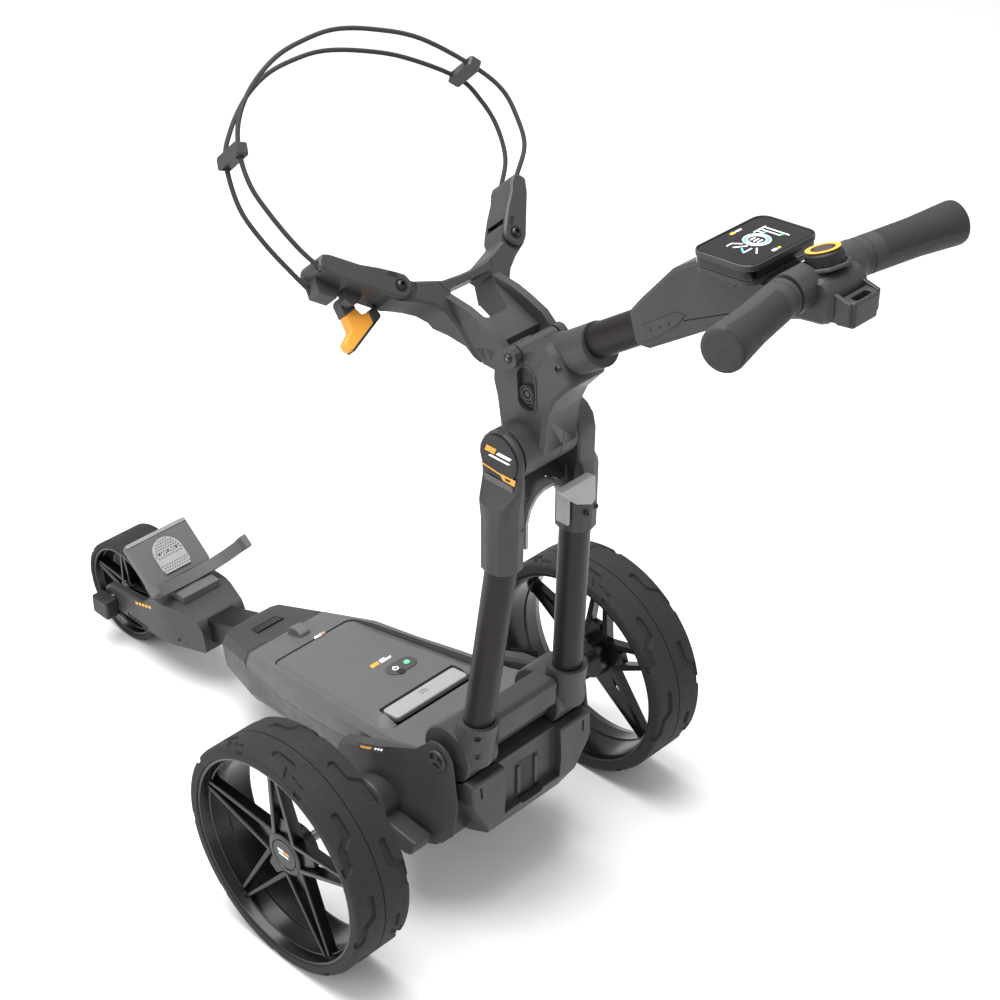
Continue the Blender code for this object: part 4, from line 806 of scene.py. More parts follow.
# ------------------------------------------------------------------ every other CAD node, refined
PLAIN_NODES = {
    "chassis_tray": (FRAME_PLASTIC, 0.0030), "base_cover": (COVER_PLASTIC, 0.0024), "nose_housing": (FRAME_PLASTIC, 0.0040),
    "left_fairing": (FRAME_PLASTIC, 0.0022), "right_fairing": (FRAME_PLASTIC, 0.0022),
    "rear_housing": (FRAME_PLASTIC, 0.0022), "leg_pivot_pin": (FRAME_PLASTIC, 0.0005), "drive_motor": (STEEL, 0.0005),
    "controller_board": (BOARD_GREEN, 0.0003), "battery_socket": (DARK_PLASTIC, 0.0006),
    "front_tube": (FRONT_TUBE_METAL, 0.0008), "front_fork": (FRAME_PLASTIC, 0.0022),
    "cradle_plate": (COVER_PLASTIC, 0.0018),
    "cradle_arms": (COVER_PLASTIC, 0.0018), "front_axle": (STEEL, 0.0004), "battery_case": (COVER_PLASTIC, 0.0014),
    "battery_handle": (LIGHT_PLASTIC, 0.0010), "power_button": (DARK_PLASTIC, 0.0004), "rear_axle": (STEEL, 0.0005),
    "drive_gear": (STEEL, 0.0003), "motor_pinion": (STEEL, 0.0003), "wheel_release": (DARK_PLASTIC, 0.0016),
    "rear_catch": (LIGHT_PLASTIC, 0.0008), "left_socket": (FRAME_PLASTIC, 0.0014), "right_socket": (FRAME_PLASTIC, 0.0014),
    "leg_saddle": (FRAME_PLASTIC, 0.0014), "left_leg_tube": (TUBE_METAL, 0.0004), "right_leg_tube": (TUBE_METAL, 0.0004),
    "leg_yoke": (FRAME_PLASTIC, 0.0016), "barrel_pin": (STEEL, 0.0004), "badge_plate": (DARK_PLASTIC, 0.0004),
    "fold_lever": (LIGHT_PLASTIC, 0.0010), "head_housing": (FRAME_PLASTIC, 0.0016), "handle_tube": (TUBE_METAL, 0.0004),
    "console_housing": (FRAME_PLASTIC, 0.0022), "display_unit": (SCREEN_GLASS, 0.0012), "handle_bar": (DARK_STEEL, 0.0004),
    "accessory_mount": (FRAME_PLASTIC, 0.0012), "bracket_pin": (STEEL, 0.0004), "speed_knob": (DARK_PLASTIC, 0.0008),
    "knob_button": (FRAME_PLASTIC, 0.0004), "bag_bracket": (FRAME_PLASTIC, 0.0018), "left_clip": (FRAME_PLASTIC, 0.0008),
    "right_clip": (FRAME_PLASTIC, 0.0008), "left_arm": (FRAME_PLASTIC, 0.0014), "right_arm": (FRAME_PLASTIC, 0.0014),
    "strap_lever": (ORANGE_PLASTIC, 0.0008),
}
SHELLS = {node: refine(node, paint, edge, 3) for node, (paint, edge) in PLAIN_NODES.items()}


# ------------------------------------------------------------------ small features used in several places
def strip(points, width):
    """The outline of a line of this width through the points."""
    left, right = [], []
    for i, point in enumerate(points):
        before, after = points[max(i - 1, 0)], points[min(i + 1, len(points) - 1)]
        run = Vector((after[0] - before[0], after[1] - before[1])).normalized() * (width / 2)
        left.append((point[0] - run.y, point[1] + run.x))
        right.append((point[0] + run.y, point[1] - run.x))
    return left + right[::-1]


def groove(node, matrix, points, level, width=0.0008, depth=0.0008):
    """A narrow seam cut along a line into a face at this level of the plane."""
    low, high = sorted((level - depth, level + depth * 2))
    cut(SHELLS[node], prism("groove", matrix, strip(points, width), low, high))


def socket_screw(name, body, place, axis, radius, well=None):
    """A round-headed screw with a round socket. With a well, it sits in a recess cut into that node."""
    axis = Vector(axis).normalized()
    if well:
        cut(SHELLS[well], rod("well", place - axis * 0.0018, place + axis * 0.02, radius * 1.35, 24))
        place = place - axis * 0.0017
    head = [(0, 0), (0, radius), (radius * 0.35, radius * 0.97), (radius * 0.62, radius * 0.70), (radius * 0.66, radius * 0.52)]
    head += [(radius * 0.20, radius * 0.46), (radius * 0.20, 0)]
    add_piece(name, turned(name, head, place, axis, 24), body, DARK_STEEL)


def bolt_on_side(name, body, y, z, x, radius, well=None):
    side = 1 if x > 0 else -1
    socket_screw(name, body, Vector((x, y, z)), (side, 0, 0), radius, well)


def mark(name, body, matrix, outline, level, paint, thick=0.0003):
    """A thin shape on a face at this level of the plane: mostly printed marks, and on the arms a sheet of painted
    shade.
    """
    low, high = sorted((level, level + thick))
    add_piece(name, prism(name, matrix, outline, low, high), body, paint)


def slanted_bar(u0, u1, v0, v1, lean):
    return [(u0, v0), (u1, v0), (u1 + lean, v1), (u0 + lean, v1)]


def flat_ring(name, body, matrix, centre, outer, inner, level, paint, thick=0.0003):
    start = matrix @ Vector((*centre, level))
    profile = [(0, inner), (0, outer), (thick, outer), (thick, inner)]
    axis = matrix.col[2].to_3d()
    add_piece(name, turned(name, profile, start, axis, 48, ring=True), body, paint)


def offset_plane(matrix, origin):
    """The same plane, moved so that its origin is at this point of layout coordinates."""
    moved = matrix.copy()
    moved.translation = origin
    return moved


# ------------------------------------------------------------------ battery and base
DECK_TOP = 0.0
PAD_ENDS = ((0.0117, 0.0440), (0.0302, 0.0440))


def make_battery_details():
    pad = arc(PAD_ENDS[1], 0.0125, -90, 90, 12) + arc(PAD_ENDS[0], 0.0125, 90, 270, 12)
    add_piece("button_pad", prism("pad", DECK, pad, DECK_TOP - 0.0006, DECK_TOP + 0.0016), "battery", PAD_PLASTIC, 0.0009, 3)
    flat_ring("power_icon_ring", "battery", DECK, PAD_ENDS[0], 0.0040, 0.0030, DECK_TOP + 0.0016, WHITE_GLOW)
    mark("power_icon_bar", "battery", DECK, rounded_box(0.0112, 0.0122, 0.0440, 0.0492, 0.0004, 1), DECK_TOP + 0.0017, WHITE_GLOW)
    led = DECK @ Vector((*PAD_ENDS[1], DECK_TOP + 0.0012))
    dome = [(0, 0), (0, 0.0042), (0.0007, 0.0036), (0.0010, 0)]
    add_piece("charge_led", turned("led", dome, led, DECK.col[2].to_3d(), 32), "battery", GREEN_GLOW)
    # Printed marks; the white ones are given a painted glow.
    for i, (u0, u1, v0, v1, paint) in enumerate((
        (-0.004, 0.008, 0.0690, 0.0760, ORANGE_PLASTIC), (0.0105, 0.0270, 0.0690, 0.0725, WHITE_GLOW),
        (0.0110, 0.0200, 0.0735, 0.0760, WHITE_GLOW), (-0.002, 0.0100, 0.1790, 0.1830, WHITE_GLOW),
        (0.0115, 0.0150, 0.1790, 0.1830, ORANGE_PLASTIC),
    )):
        mark("battery_mark_%d" % (i + 1), "battery", DECK, slanted_bar(u0, u1, v0, v1, 0.002), DECK_TOP, paint)
    surround = rounded_box(-0.0615, 0.0615, -0.0385, -0.0035, 0.0060, 5)
    cut(SHELLS["battery_case"], prism("handle_surround", DECK, surround, DECK_TOP - 0.0040, DECK_TOP + 0.01))
    # Painted shade: a near-black ring laid round the floor of the handle recess, where shade gathers along its walls.
    floor = rounded_box(-0.0613, 0.0613, -0.0383, -0.0037, 0.0058, 5)
    well = add_piece("handle_well_painted_shade", prism("well", DECK, floor, DECK_TOP - 0.0041, DECK_TOP - 0.0036), "battery", DARK_PLASTIC)
    cut(well, prism("well_room", DECK, rounded_box(-0.0560, 0.0560, -0.0330, -0.0090, 0.0040, 3), -0.03, 0.06))
    for i, v in enumerate((-0.0170, -0.0215)):
        mark("handle_arrow_%d" % (i + 1), "battery_bail", DECK, strip([(-0.006, v), (0.0, v + 0.002), (0.006, v)], 0.0009),
             DECK_TOP - 0.0001, FRAME_PLASTIC)


COVER_SEAM = [(-0.0900, 0.2080), (-0.0600, 0.2190), (0.0, 0.2225), (0.0600, 0.2190), (0.0900, 0.2080)]
HOOK_PLACE = Vector((0.0040, 0.2235, 0.1575))


def make_base_details():
    cover = SHELLS["base_cover"]
    cut(cover, prism("slot", TOP, rounded_box(-0.0300, 0.0330, 0.2275, 0.2300, 0.0010, 2), 0.1540, 0.30))
    hook = [(-0.0150, 0), (0.0150, 0), (0.0110, 0.0115), (0.0040, 0.0150), (-0.0040, 0.0150), (-0.0110, 0.0115)]
    matrix = plane(HOOK_PLACE - Vector((0, 0.0080, 0.0030)), (0, 1, 0), (0, 0, 1))
    add_piece("cover_hook", prism("hook", matrix, hook, -0.0070, 0.0090), "chassis", COVER_PLASTIC, 0.0014, 3)
    for side, word in ((-1, "left"), (1, "right")):
        plate = [(-0.0400, 0.2085), (-0.0890, 0.2300), (-0.0850, 0.2185), (-0.0430, 0.2000)]
        level = side * 0.1243
        mark(word + "_label", "chassis", SIDE, plate, level, DARK_PLASTIC, side * 0.0004)
        inner = [(-0.0430, 0.2070), (-0.0640, 0.2160), (-0.0610, 0.2110), (-0.0450, 0.2040)]
        mark(word + "_label_patch", "chassis", SIDE, inner, level + side * 0.0004, ORANGE_PLASTIC, side * 0.0002)
        # White bars of the label print, given a painted glow.
        for i in range(3):
            y = -0.0690 - 0.0050 * i
            bar = [(y, 0.2160 - 0.436 * (y + 0.0640)), (y - 0.0032, 0.2174 - 0.436 * (y + 0.0640))]
            bar += [(y - 0.0018, 0.2140 - 0.436 * (y + 0.0640)), (y + 0.0012, 0.2126 - 0.436 * (y + 0.0640))]
            mark("%s_label_bar_%d" % (word, i + 1), "chassis", SIDE, bar, level + side * 0.0004, WHITE_GLOW, side * 0.0002)
        cap = Vector((side * 0.1120, LEG_PIVOT.y, LEG_PIVOT.z))
        matrix = offset_plane(SIDE, cap)
        for i in range(3):
            a = math.radians(30 + 120 * i)
            wedge = []
            for radius, swing in ((0.0040, -0.50), (0.0105, -0.80), (0.0112, 0.0), (0.0105, 0.80), (0.0040, 0.50)):
                wedge.append((radius * math.cos(a + swing), radius * math.sin(a + swing)))
            low, high = sorted((side * -0.0022, side * 0.01))
            cut(SHELLS["leg_pivot_pin"], prism("wedge", matrix, wedge, low, high))
        # Painted shade: a near-black disc under the three wedge cuts darkens their floors.
        floor = turned("floor", [(0, 0), (0, 0.0112), (0.0004, 0.0112), (0.0004, 0)], cap - Vector((side * 0.0024, 0, 0)), (side, 0, 0), 40)
        add_piece(word + "_pivot_cap_painted_shade", floor, "chassis", DARK_PLASTIC)
        cover_of_axle = arc((REAR_AXLE.y, REAR_AXLE.z), 0.0300, 20, 200, 12) + [(REAR_AXLE.y - 0.0820, REAR_AXLE.z - 0.0150)]
        cover_of_axle += arc((REAR_AXLE.y - 0.0620, REAR_AXLE.z - 0.0220), 0.0180, 230, 300, 4)
        cover_of_axle += [(REAR_AXLE.y + 0.0100, REAR_AXLE.z - 0.0310)]
        low, high = sorted((side * 0.1120, side * 0.1400))
        boss = add_piece(word + "_axle_cover", prism("axle_cover", SIDE, cover_of_axle, low, high), "chassis", FRAME_PLASTIC, 0.0120, 5)
        cut(boss, rod("axle_room", REAR_AXLE + Vector((side * 0.10, 0, 0)), REAR_AXLE + Vector((side * 0.15, 0, 0)), 0.0095, 32))
        for i, (y, z) in enumerate(((-0.1960, 0.2850), (-0.1900, 0.2580))):
            out = Vector((side * 0.62, -0.78, 0)).normalized()
            middle = Vector((side * 0.0730, -0.1790, z))
            socket_screw("%s_sleeve_screw_%d" % (word, i + 1), "legs", middle + out * 0.0238, out, 0.0030, word + "_socket")
        slot = [(side * 0.0815, 0.1960), (side * 0.0840, 0.1960), (side * 0.0850, 0.2120), (side * 0.0825, 0.2120)]
        cut(SHELLS["rear_housing"], prism("slot", REAR, slot, 0.1950, 0.25))
    groove("rear_housing", REAR, [(-0.10, 0.1365), (0.10, 0.1365)], 0.1970, 0.0010, 0.0030)
    latch = [(-0.0200, 0.1500), (0.0200, 0.1500), (0.0200, 0.2000), (-0.0200, 0.2000)]
    add_piece("latch_window", prism("latch_window", REAR, latch, 0.1872, 0.1884), "chassis", DARK_PLASTIC, 0.0003, 1)
    for x0, x1 in ((-0.0170, -0.0115), (0.0115, 0.0170)):
        rail = rounded_box(x0, x1, 0.1560, 0.1960, 0.001, 2)
        add_piece("latch_rail_%d" % (1 if x0 < 0 else 2), prism("rail", REAR, rail, 0.1880, 0.1905), "chassis", FRAME_PLASTIC, 0.0005, 2)


# ------------------------------------------------------------------ front end
PAD_HOLES = ((-0.0140, 0.0360), (0.0, 0.0360), (0.0140, 0.0360))


def make_front_details():
    grow = 1.2
    shape = [(-0.0170, 0.0120), (0.0170, 0.0120), (0.0190, 0.0180)] + arc((0, 0.0330), 0.0190, 0, 180, 24) + [(-0.0190, 0.0180)]
    shape = [(u * grow, 0.0300 + (v - 0.0300) * grow) for u, v in shape]
    pad = add_piece("cradle_pad_skin", prism("pad", CRADLE, shape, 0.0, 0.0030), "chassis", LIGHT_PLASTIC, 0.0008, 3)
    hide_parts("cradle_pad")
    # Painted shade: near-black squares laid on the pad's face stand for the shade inside its dimples.
    dimples = []
    for row in range(12):
        v = 0.0120 + row * 0.0037
        if 3 <= row <= 4:
            continue
        for column in range(-5, 6):
            u = (column + 0.5 * (row % 2)) * 0.0040
            room = 0.0205 if v < 0.0336 else math.sqrt(max(0.0, 0.0205**2 - (v - 0.0336) ** 2))
            if abs(u) > room or any(math.dist((u, v), hole) < 0.0040 for hole in PAD_HOLES):
                continue
            dimple = rounded_box(u - 0.0009, u + 0.0009, v - 0.0009, v + 0.0009, 0.0006, 1)
            dimples.append(prism("dimple", CRADLE, dimple, 0.0029, 0.0032))
    add_piece("pad_dimples_painted_shade", merged("dimples", dimples), "chassis", DARK_PLASTIC)
    for hole in PAD_HOLES:
        ends = CRADLE @ Vector((*hole, 0.0012)), CRADLE @ Vector((*hole, 0.01))
        cut(pad, rod("screw_hole", *ends, 0.0023, 20))
        add_piece("pad_screw_%d" % (PAD_HOLES.index(hole) + 1), rod("screw", CRADLE @ Vector((*hole, 0.0008)), ends[0], 0.0022, 20), "chassis", DARK_PLASTIC)
    groove("cradle_plate", CRADLE, [(0.0, 0.050), (0.0, 0.0720)], 0.0, 0.0010, 0.0008)
    groove("cradle_plate", CRADLE, [(-0.06, 0.0625), (0.06, 0.0625)], 0.0, 0.0008, 0.0006)
    strip_top = rounded_box(-0.0495, 0.0495, 0.0632, 0.0680, 0.0015, 3)
    add_piece("cradle_band", prism("band", CRADLE, strip_top, -0.0002, 0.0006), "chassis", BAND_PLASTIC, 0.0004, 2)
    shelf = plane(CRADLE.translation, CRADLE.col[0].to_3d(), CRADLE.col[2].to_3d())
    for x in (-0.0300, 0.0300):
        cut(SHELLS["cradle_arms"], prism("seam", shelf, strip([(x, 0.0), (x * 1.35, 0.040)], 0.0008), 0.0015, 0.0035))
    for side in (-1, 1):
        tip = [(side * 0.0690, 0.0440), (side * 0.0830, 0.0500), (side * 0.0805, 0.0600), (side * 0.0720, 0.0585)]
        name = "cradle_tip_left" if side < 0 else "cradle_tip_right"
        add_piece(name, prism("tip", shelf, tip, 0.0015, 0.0195), "chassis", COVER_PLASTIC, 0.0012, 3)
    for side, word in ((-1, "left"), (1, "right")):
        stripe = [(0.4935, 0.0930), (0.4570, 0.1035), (0.4560, 0.0995), (0.4925, 0.0892)]
        for i in range(5):
            share, width = i / 5, 0.14
            ends = [Vector(a).lerp(Vector(b), share + w) for w in (0.0, width) for a, b in ((stripe[0], stripe[1]), (stripe[3], stripe[2]))]
            bar = [ends[0], ends[2], ends[3], ends[1]]
            mark("%s_fork_mark_%d" % (word, i + 1), "chassis", SIDE, bar, side * 0.0500, ORANGE_PLASTIC, side * 0.0003)
        for i, (y, z) in enumerate(((0.4180, 0.0720), (0.4080, 0.0715))):
            bolt_on_side("%s_fork_screw_%d" % (word, i + 1), "chassis", y, z, side * 0.0455, 0.0022)
        bolt_on_side(word + "_axle_nut", "chassis", FRONT_AXLE.y, FRONT_AXLE.z, side * 0.0500, 0.0065)
        cut(SHELLS["front_fork"], prism("fork_pocket", SIDE, rounded_box(0.4700, 0.5150, 0.0580, 0.0640, 0.002, 3),
                                        *sorted((side * 0.0485, side * 0.06))))
    groove("nose_housing", SIDE, [(0.2420, 0.1600), (0.2300, 0.1100), (0.2360, 0.0600)], -0.0700, 0.0010, 0.0200)
    groove("nose_housing", SIDE, [(0.2420, 0.1600), (0.2300, 0.1100), (0.2360, 0.0600)], 0.0700, 0.0010, 0.0200)


# ------------------------------------------------------------------ yoke and head
BADGE_LEVEL = -0.0598


def make_yoke_details():
    centre = (HANDLE_PIVOT.y, HANDLE_PIVOT.z)
    line = [(-0.1765, 0.6250), (-0.2050, 0.6222), (-0.2050, 0.6206), (-0.1765, 0.6234)]
    mark("badge_line", "legs", SIDE, line, BADGE_LEVEL, ORANGE_PLASTIC, -0.0004)
    tab = [(-0.2045, 0.6225), (-0.2270, 0.6232), (-0.2250, 0.6155), (-0.2090, 0.6160)]
    mark("badge_tab", "legs", SIDE, tab, BADGE_LEVEL, ORANGE_PLASTIC, -0.0004)
    mark("badge_tab_bar", "legs", SIDE, [(-0.2120, 0.6205), (-0.2200, 0.6208), (-0.2190, 0.6180), (-0.2130, 0.6178)],
         BADGE_LEVEL - 0.0004, DARK_PLASTIC, -0.0002)
    # The badge's print; its white bars are given a painted glow.
    bars = ((-0.1830, -0.1965, 0.6420, 0.6490, ORANGE_PLASTIC), (-0.1995, -0.2180, 0.6430, 0.6465, WHITE_GLOW),
            (-0.1880, -0.2160, 0.6375, 0.6395, WHITE_GLOW))
    for i, (y0, y1, z0, z1, paint) in enumerate(bars):
        mark("badge_mark_%d" % (i + 1), "legs", SIDE, slanted_bar(y0, y1, z0, z1, -0.0030), BADGE_LEVEL, paint, -0.0003)
    # Painted highlight: a flat piece of the lighter cover plastic below the orange line stands for the badge's lower
    # face, which flares out to the sleeve and catches the top light.
    pocket = arc((centre[0], 0.6080), 0.0215, 200, 340, 14) + [(-0.1815, 0.6130), (-0.2220, 0.6130)]
    add_piece("badge_painted_highlight", prism("pocket", SIDE, pocket, -0.0596, -0.0575), "legs", COVER_PLASTIC, 0.0008, 3)
    for i, (x, z) in enumerate(((0.0480, 0.5320), (0.0640, 0.5330))):
        place = Vector((x, -0.2270 if i == 0 else -0.2255, z))
        socket_screw("yoke_screw_%d" % (i + 1), "legs", place, (0.15 * (1 if i else -1), -1, 0), 0.0034)
    for x in (0.0040,):
        seam = turned("seam", [(0, 0.0278), (0, 0.035), (0.0008, 0.035), (0.0008, 0.0278)],
                      HANDLE_PIVOT + Vector((x, 0, 0)), (1, 0, 0), 64, ring=True)
        cut(SHELLS["head_housing"], seam)


RECESS_ENDS = ((-0.2095, 0.7230), (-0.2110, 0.6970))


def make_head_details():
    top, bottom = RECESS_ENDS
    for side, word in ((-1, "left"), (1, "right")):
        obround = arc(top, 0.0118, 0, 180, 12) + arc(bottom, 0.0118, 180, 360, 12)
        rim = arc(top, 0.0138, 0, 180, 12) + arc(bottom, 0.0138, 180, 360, 12)
        low, high = sorted((side * 0.0270, side * 0.0287))
        add_piece(word + "_recess_rim", prism("rim", SIDE, rim, low, high), "handle", FRAME_PLASTIC, 0.0008, 3)
        cut(bpy.data.objects[word + "_recess_rim"], prism("hole", SIDE, obround, *sorted((side * 0.01, side * 0.05))))
        cut(SHELLS["head_housing"], prism("recess", SIDE, obround, *sorted((side * 0.0235, side * 0.05))))
        # Painted shade: a near-black floor darkens the bottom of the recess.
        floor = prism("floor", SIDE, obround, *sorted((side * 0.0233, side * 0.0236)))
        add_piece(word + "_recess_painted_shade", floor, "handle", DARK_PLASTIC)
        boss = Vector((side * 0.0234, -0.2100, 0.7040))
        profile = [(0, 0), (0, 0.0100), (0.0040, 0.0096), (0.0040, 0.0086), (0.0016, 0.0084), (0.0016, 0.0072)]
        profile += [(0.0036, 0.0070), (0.0036, 0.0054), (0.0018, 0.0052), (0.0018, 0.0036), (0.0034, 0.0030), (0.0030, 0)]
        add_piece(word + "_boss", turned("boss", profile, boss, (side, 0, 0), 40), "handle", FRAME_PLASTIC)
        out = Vector((side, 0, 0.25)).normalized()
        socket_screw(word + "_collar_bolt", "handle", Vector((side * 0.0262, -0.2520, 0.7500)), out, 0.0042)
    collar = tube_line(-0.2520)
    seam = [(0, 0.0226), (0, 0.0300), (0.0008, 0.0300), (0.0008, 0.0226)]
    cut(SHELLS["head_housing"], turned("seam", seam, collar, TUBE_LINE_DIR, 64, ring=True))


# ------------------------------------------------------------------ bag bracket and arms
def make_bracket_details():
    ear_side = plane(BRACKET_FOOT, BRACKET.col[1].to_3d(), BRACKET.col[2].to_3d())
    for side, word in ((-1, "left"), (1, "right")):
        bolt = ear_side @ Vector((-0.0013, 0.0421, side * 0.0385))
        socket_screw(word + "_ear_bolt", "bag_bracket", bolt, (side, 0, 0), 0.0048)
        bolt = BRACKET @ Vector((side * ARM_BOLT[0], ARM_BOLT[1], 0.0019))
        normal = BRACKET.col[2].to_3d()
        rim = [(0, 0.0058), (0, 0.0068), (0.0008, 0.0068), (0.0008, 0.0058)]
        add_piece(word + "_arm_bolt_rim", turned("rim", rim, bolt, normal, 40, ring=True), word + "_arm", DARK_PLASTIC)
        socket_screw(word + "_arm_bolt", word + "_arm", bolt, normal, 0.0052)
        # Painted shade: a near-black flat piece by the arm bolt stands for the pocket there instead of cutting it.
        pocket = [(side * u, v) for u, v in ((0.0815, 0.1215), (0.0900, 0.1290), (0.0860, 0.1310), (0.0790, 0.1262))]
        mark(word + "_arm_pocket_painted_shade", word + "_arm", BRACKET, pocket, 0.0020, DARK_PLASTIC)
        # Painted shade: two near-black flat triangles on the ear stand for its pockets.
        for i, outline in enumerate((((0.0090, 0.0090), (0.0240, 0.0040), (0.0200, 0.0150)),
                                     ((0.0060, 0.0160), (0.0180, 0.0190), (0.0110, 0.0270)))):
            low, high = sorted((side * 0.0384, side * 0.0387))
            add_piece("%s_ear_pocket_%d" % (word, i + 1), prism("pocket", ear_side, outline, low, high), "bag_bracket", DARK_PLASTIC)
    for side in (-1, 1):
        groove("bag_bracket", BRACKET, [(side * 0.0310, 0.0870), (side * 0.0400, 0.1060)], 0.0, 0.0008, 0.0008)
    frame_of_lever = plane(BRACKET @ Vector((-0.1280, 0.1240, 0)), BRACKET.col[0].to_3d(), BRACKET.col[1].to_3d())
    edge = [(-0.0180, -0.0475), (0.0300, -0.0275), (0.0310, -0.0245), (-0.0190, -0.0452)]
    add_piece("lever_edge", prism("edge", frame_of_lever, edge, -0.0445, -0.0305), "strap_lever", DARK_PLASTIC, 0.0006, 2)
    end = [(0.0180, -0.0300), (0.0310, -0.0260), (0.0290, -0.0150), (0.0190, -0.0180)]
    add_piece("lever_end", prism("end", frame_of_lever, end, -0.0450, -0.0300), "strap_lever", FRAME_PLASTIC, 0.0012, 3)
    neck = arc((0, 0), 0.0072, 10, 190, 8) + [(-0.0080, -0.0120), (0.0080, -0.0090)]
    add_piece("lever_neck", prism("neck", frame_of_lever, neck, -0.0446, -0.0304), "strap_lever", FRAME_PLASTIC, 0.0008, 3)


# ------------------------------------------------------------------ console
DIAL = (0.0018, 0.0)


def make_display_details():
    rim_plane = offset_plane(DISPLAY, DISPLAY.translation)
    under = rounded_box(-0.0480, 0.0480, -0.0320, 0.0320, 0.0115, 6)
    add_piece("display_tray", prism("tray", rim_plane, under, -0.0200, -0.0140), "handle", FRAME_PLASTIC, 0.0010, 3)
    outer, inner = rounded_box(-0.0496, 0.0496, -0.0336, 0.0336, 0.0125, 8), rounded_box(-0.0480, 0.0480, -0.0320, 0.0320, 0.0112, 8)
    frame_piece = add_piece("display_frame", prism("frame", rim_plane, outer, -0.0050, 0.0004), "handle", FRAME_PLASTIC, 0.0006, 3)
    cut(frame_piece, prism("glass_room", rim_plane, inner, -0.02, 0.01))
    level = 0.0002
    for i, (radius, width, paint) in enumerate(((0.0128, 0.0012, WHITE_GLOW), (0.0110, 0.0012, CYAN_GLOW), (0.0090, 0.0010, WHITE_GLOW))):
        flat_ring("dial_ring_%d" % (i + 1), "handle", DISPLAY, DIAL, radius, radius - width, level, paint)
    for i, v in enumerate((-0.0040, 0.0, 0.0040)):
        mark("dial_bar_%d" % (i + 1), "handle", DISPLAY, rounded_box(DIAL[0] - 0.0045, DIAL[0] + 0.0030, v - 0.0007, v + 0.0007, 0.0003, 1), level, WHITE_GLOW)
    routes = (
        ([(0.0125, 0.0120), (0.0290, 0.0120)], 0.0016, WHITE_GLOW), ([(0.0270, 0.0120), (0.0270, -0.0160)], 0.0014, WHITE_GLOW),
        ([(0.0165, 0.0120), (0.0165, 0.0040)], 0.0013, WHITE_GLOW), ([(0.0215, 0.0120), (0.0215, -0.0100)], 0.0013, WHITE_GLOW),
        ([(0.0165, 0.0045), (0.0215, 0.0045)], 0.0014, CYAN_GLOW), ([(0.0225, -0.0100), (0.0262, -0.0100)], 0.0020, GREEN_GLOW),
        ([(-0.0125, 0.0040), (-0.0180, 0.0120), (-0.0250, 0.0120)], 0.0013, WHITE_GLOW),
        ([(-0.0135, -0.0020), (-0.0240, 0.0060)], 0.0013, WHITE_GLOW), ([(-0.0150, -0.0080), (-0.0270, -0.0080)], 0.0013, WHITE_GLOW),
        ([(-0.0120, -0.0110), (-0.0210, -0.0180)], 0.0013, WHITE_GLOW), ([(-0.0205, -0.0010), (-0.0250, -0.0060)], 0.0016, CYAN_GLOW),
    )
    for i, (points, width, paint) in enumerate(routes):
        mark("display_line_%d" % (i + 1), "handle", DISPLAY, strip(points, width), level, paint)
    for i, (u0, u1, v0, v1, paint) in enumerate((
        (-0.0040, 0.0020, 0.0235, 0.0265, YELLOW_GLOW), (0.0035, 0.0110, 0.0240, 0.0262, WHITE_GLOW),
        (-0.0080, -0.0020, -0.0265, -0.0235, WHITE_GLOW), (-0.0010, 0.0030, -0.0262, -0.0240, YELLOW_GLOW),
    )):
        mark("display_block_%d" % (i + 1), "handle", DISPLAY, rounded_box(u0, u1, v0, v1, 0.0006, 2), level, paint)
    for side, word in ((-1, "left"), (1, "right")):
        block = [(-0.4420, 0.9440), (-0.4420, 0.9300), (-0.4480, 0.9270), (-0.4700, 0.9270), (-0.4760, 0.9380), (-0.4760, 0.9440)]
        low, high = sorted((side * 0.0240, side * 0.0430))
        add_piece(word + "_display_clip", prism("clip", SIDE, block, low, high), "handle", FRAME_PLASTIC, 0.0014, 3)


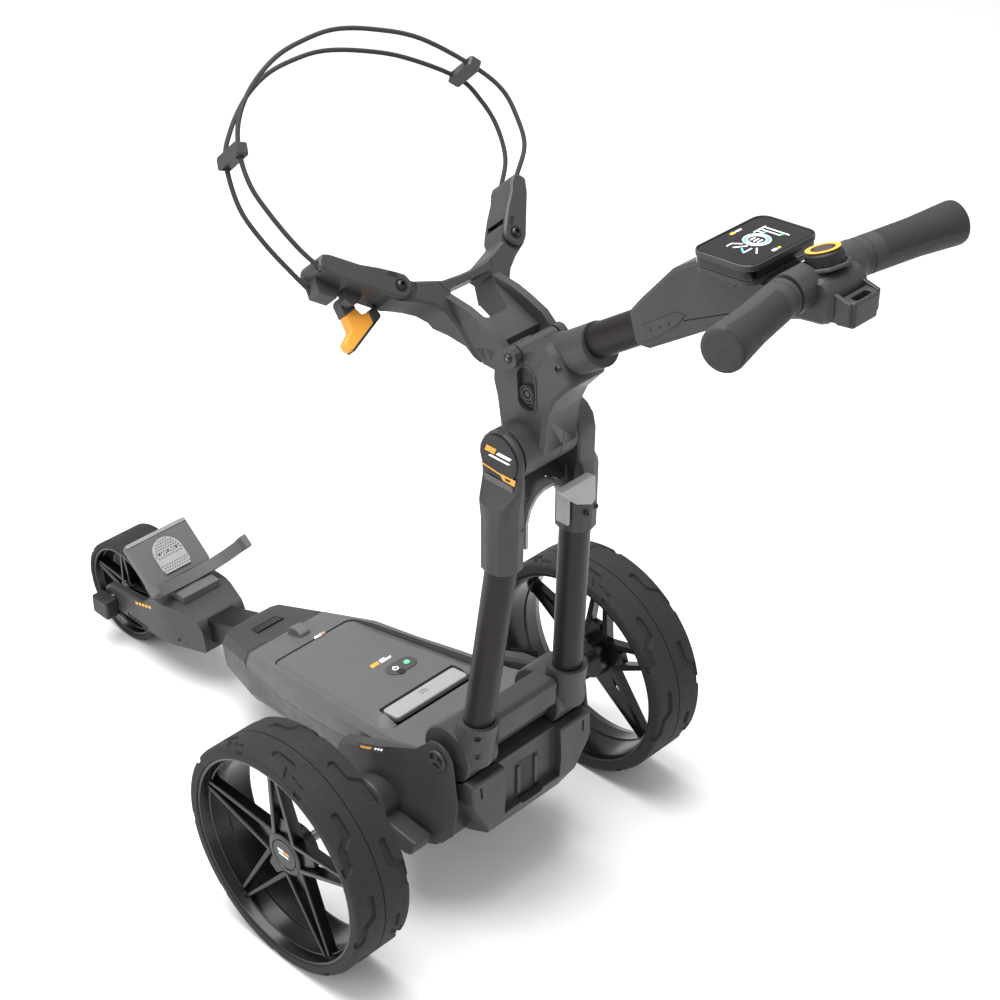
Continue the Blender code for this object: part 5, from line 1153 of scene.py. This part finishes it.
def make_console_details():
    seam = [(-0.4056, 0.8640), (-0.4834, 0.9050), (-0.5100, 0.9200)]
    for side, word in ((-1, "left"), (1, "right")):
        groove("console_housing", SIDE, seam, side * 0.0270, 0.0010, side * 0.0010 if side > 0 else 0.0010)
        panel = [(-0.3560, 0.8230), (-0.3560, 0.8400), (-0.3960, 0.8690), (-0.4070, 0.8700), (-0.3980, 0.8560), (-0.3700, 0.8310)]
        low, high = sorted((side * 0.0266, side * 0.0285))
        add_piece(word + "_console_panel", prism("panel", SIDE, panel, low, high), "handle", FRAME_PLASTIC, 0.0008, 3)
        for i, (y, z) in enumerate(((-0.3684, 0.8400), (-0.3789, 0.8475), (-0.3895, 0.8550))):
            hole = Vector((side * 0.0283, y, z))
            dot = turned("dot", [(0, 0), (0, 0.0016), (0.0004, 0.0016), (0.0004, 0)], hole, (side, 0, 0), 20)
            add_piece("%s_console_dot_%d" % (word, i + 1), dot, "handle", DARK_PLASTIC)
    top = KNOB_BASE + KNOB_AXIS * 0.0150
    knob_plane = plane(top, (1, 0, 0), KNOB_AXIS.cross(Vector((1, 0, 0))))
    flat_ring("knob_ring", "speed_knob", knob_plane, (0, 0), 0.0158, 0.0112, 0.0, ORANGE_PLASTIC, 0.0005)
    for i in range(12):
        a = 2 * math.pi * i / 12
        groove_at = [knob_plane @ Vector((0.0184 * math.cos(a), 0.0184 * math.sin(a), w)) for w in (-0.0160, 0.002)]
        cut(SHELLS["speed_knob"], rod("notch", *groove_at, 0.0012, 10))
    collar = [(0, 0.0192), (0, 0.0235), (0.0035, 0.0222), (0.0035, 0.0192)]
    add_piece("knob_collar", turned("collar", collar, KNOB_BASE - KNOB_AXIS * 0.0010, KNOB_AXIS, 8, ring=True), "handle", FRAME_PLASTIC, 0.0010, 3)


def make_mount_details():
    """The accessory ring's webs to the console."""
    for side, word in ((-1, "left"), (1, "right")):
        web = [(-0.5540, 0.9500), (-0.5790, 0.9440), (-0.5790, 0.9230), (-0.5540, 0.9200)]
        low, high = sorted((side * 0.0175, side * 0.0220))
        add_piece(word + "_mount_web", prism("web", SIDE, web, low, high), "handle", FRAME_PLASTIC, 0.0010, 3)


make_battery_details()
make_base_details()
make_front_details()
make_yoke_details()
make_head_details()
make_bracket_details()
make_display_details()
make_console_details()
make_mount_details()

settle_pieces()
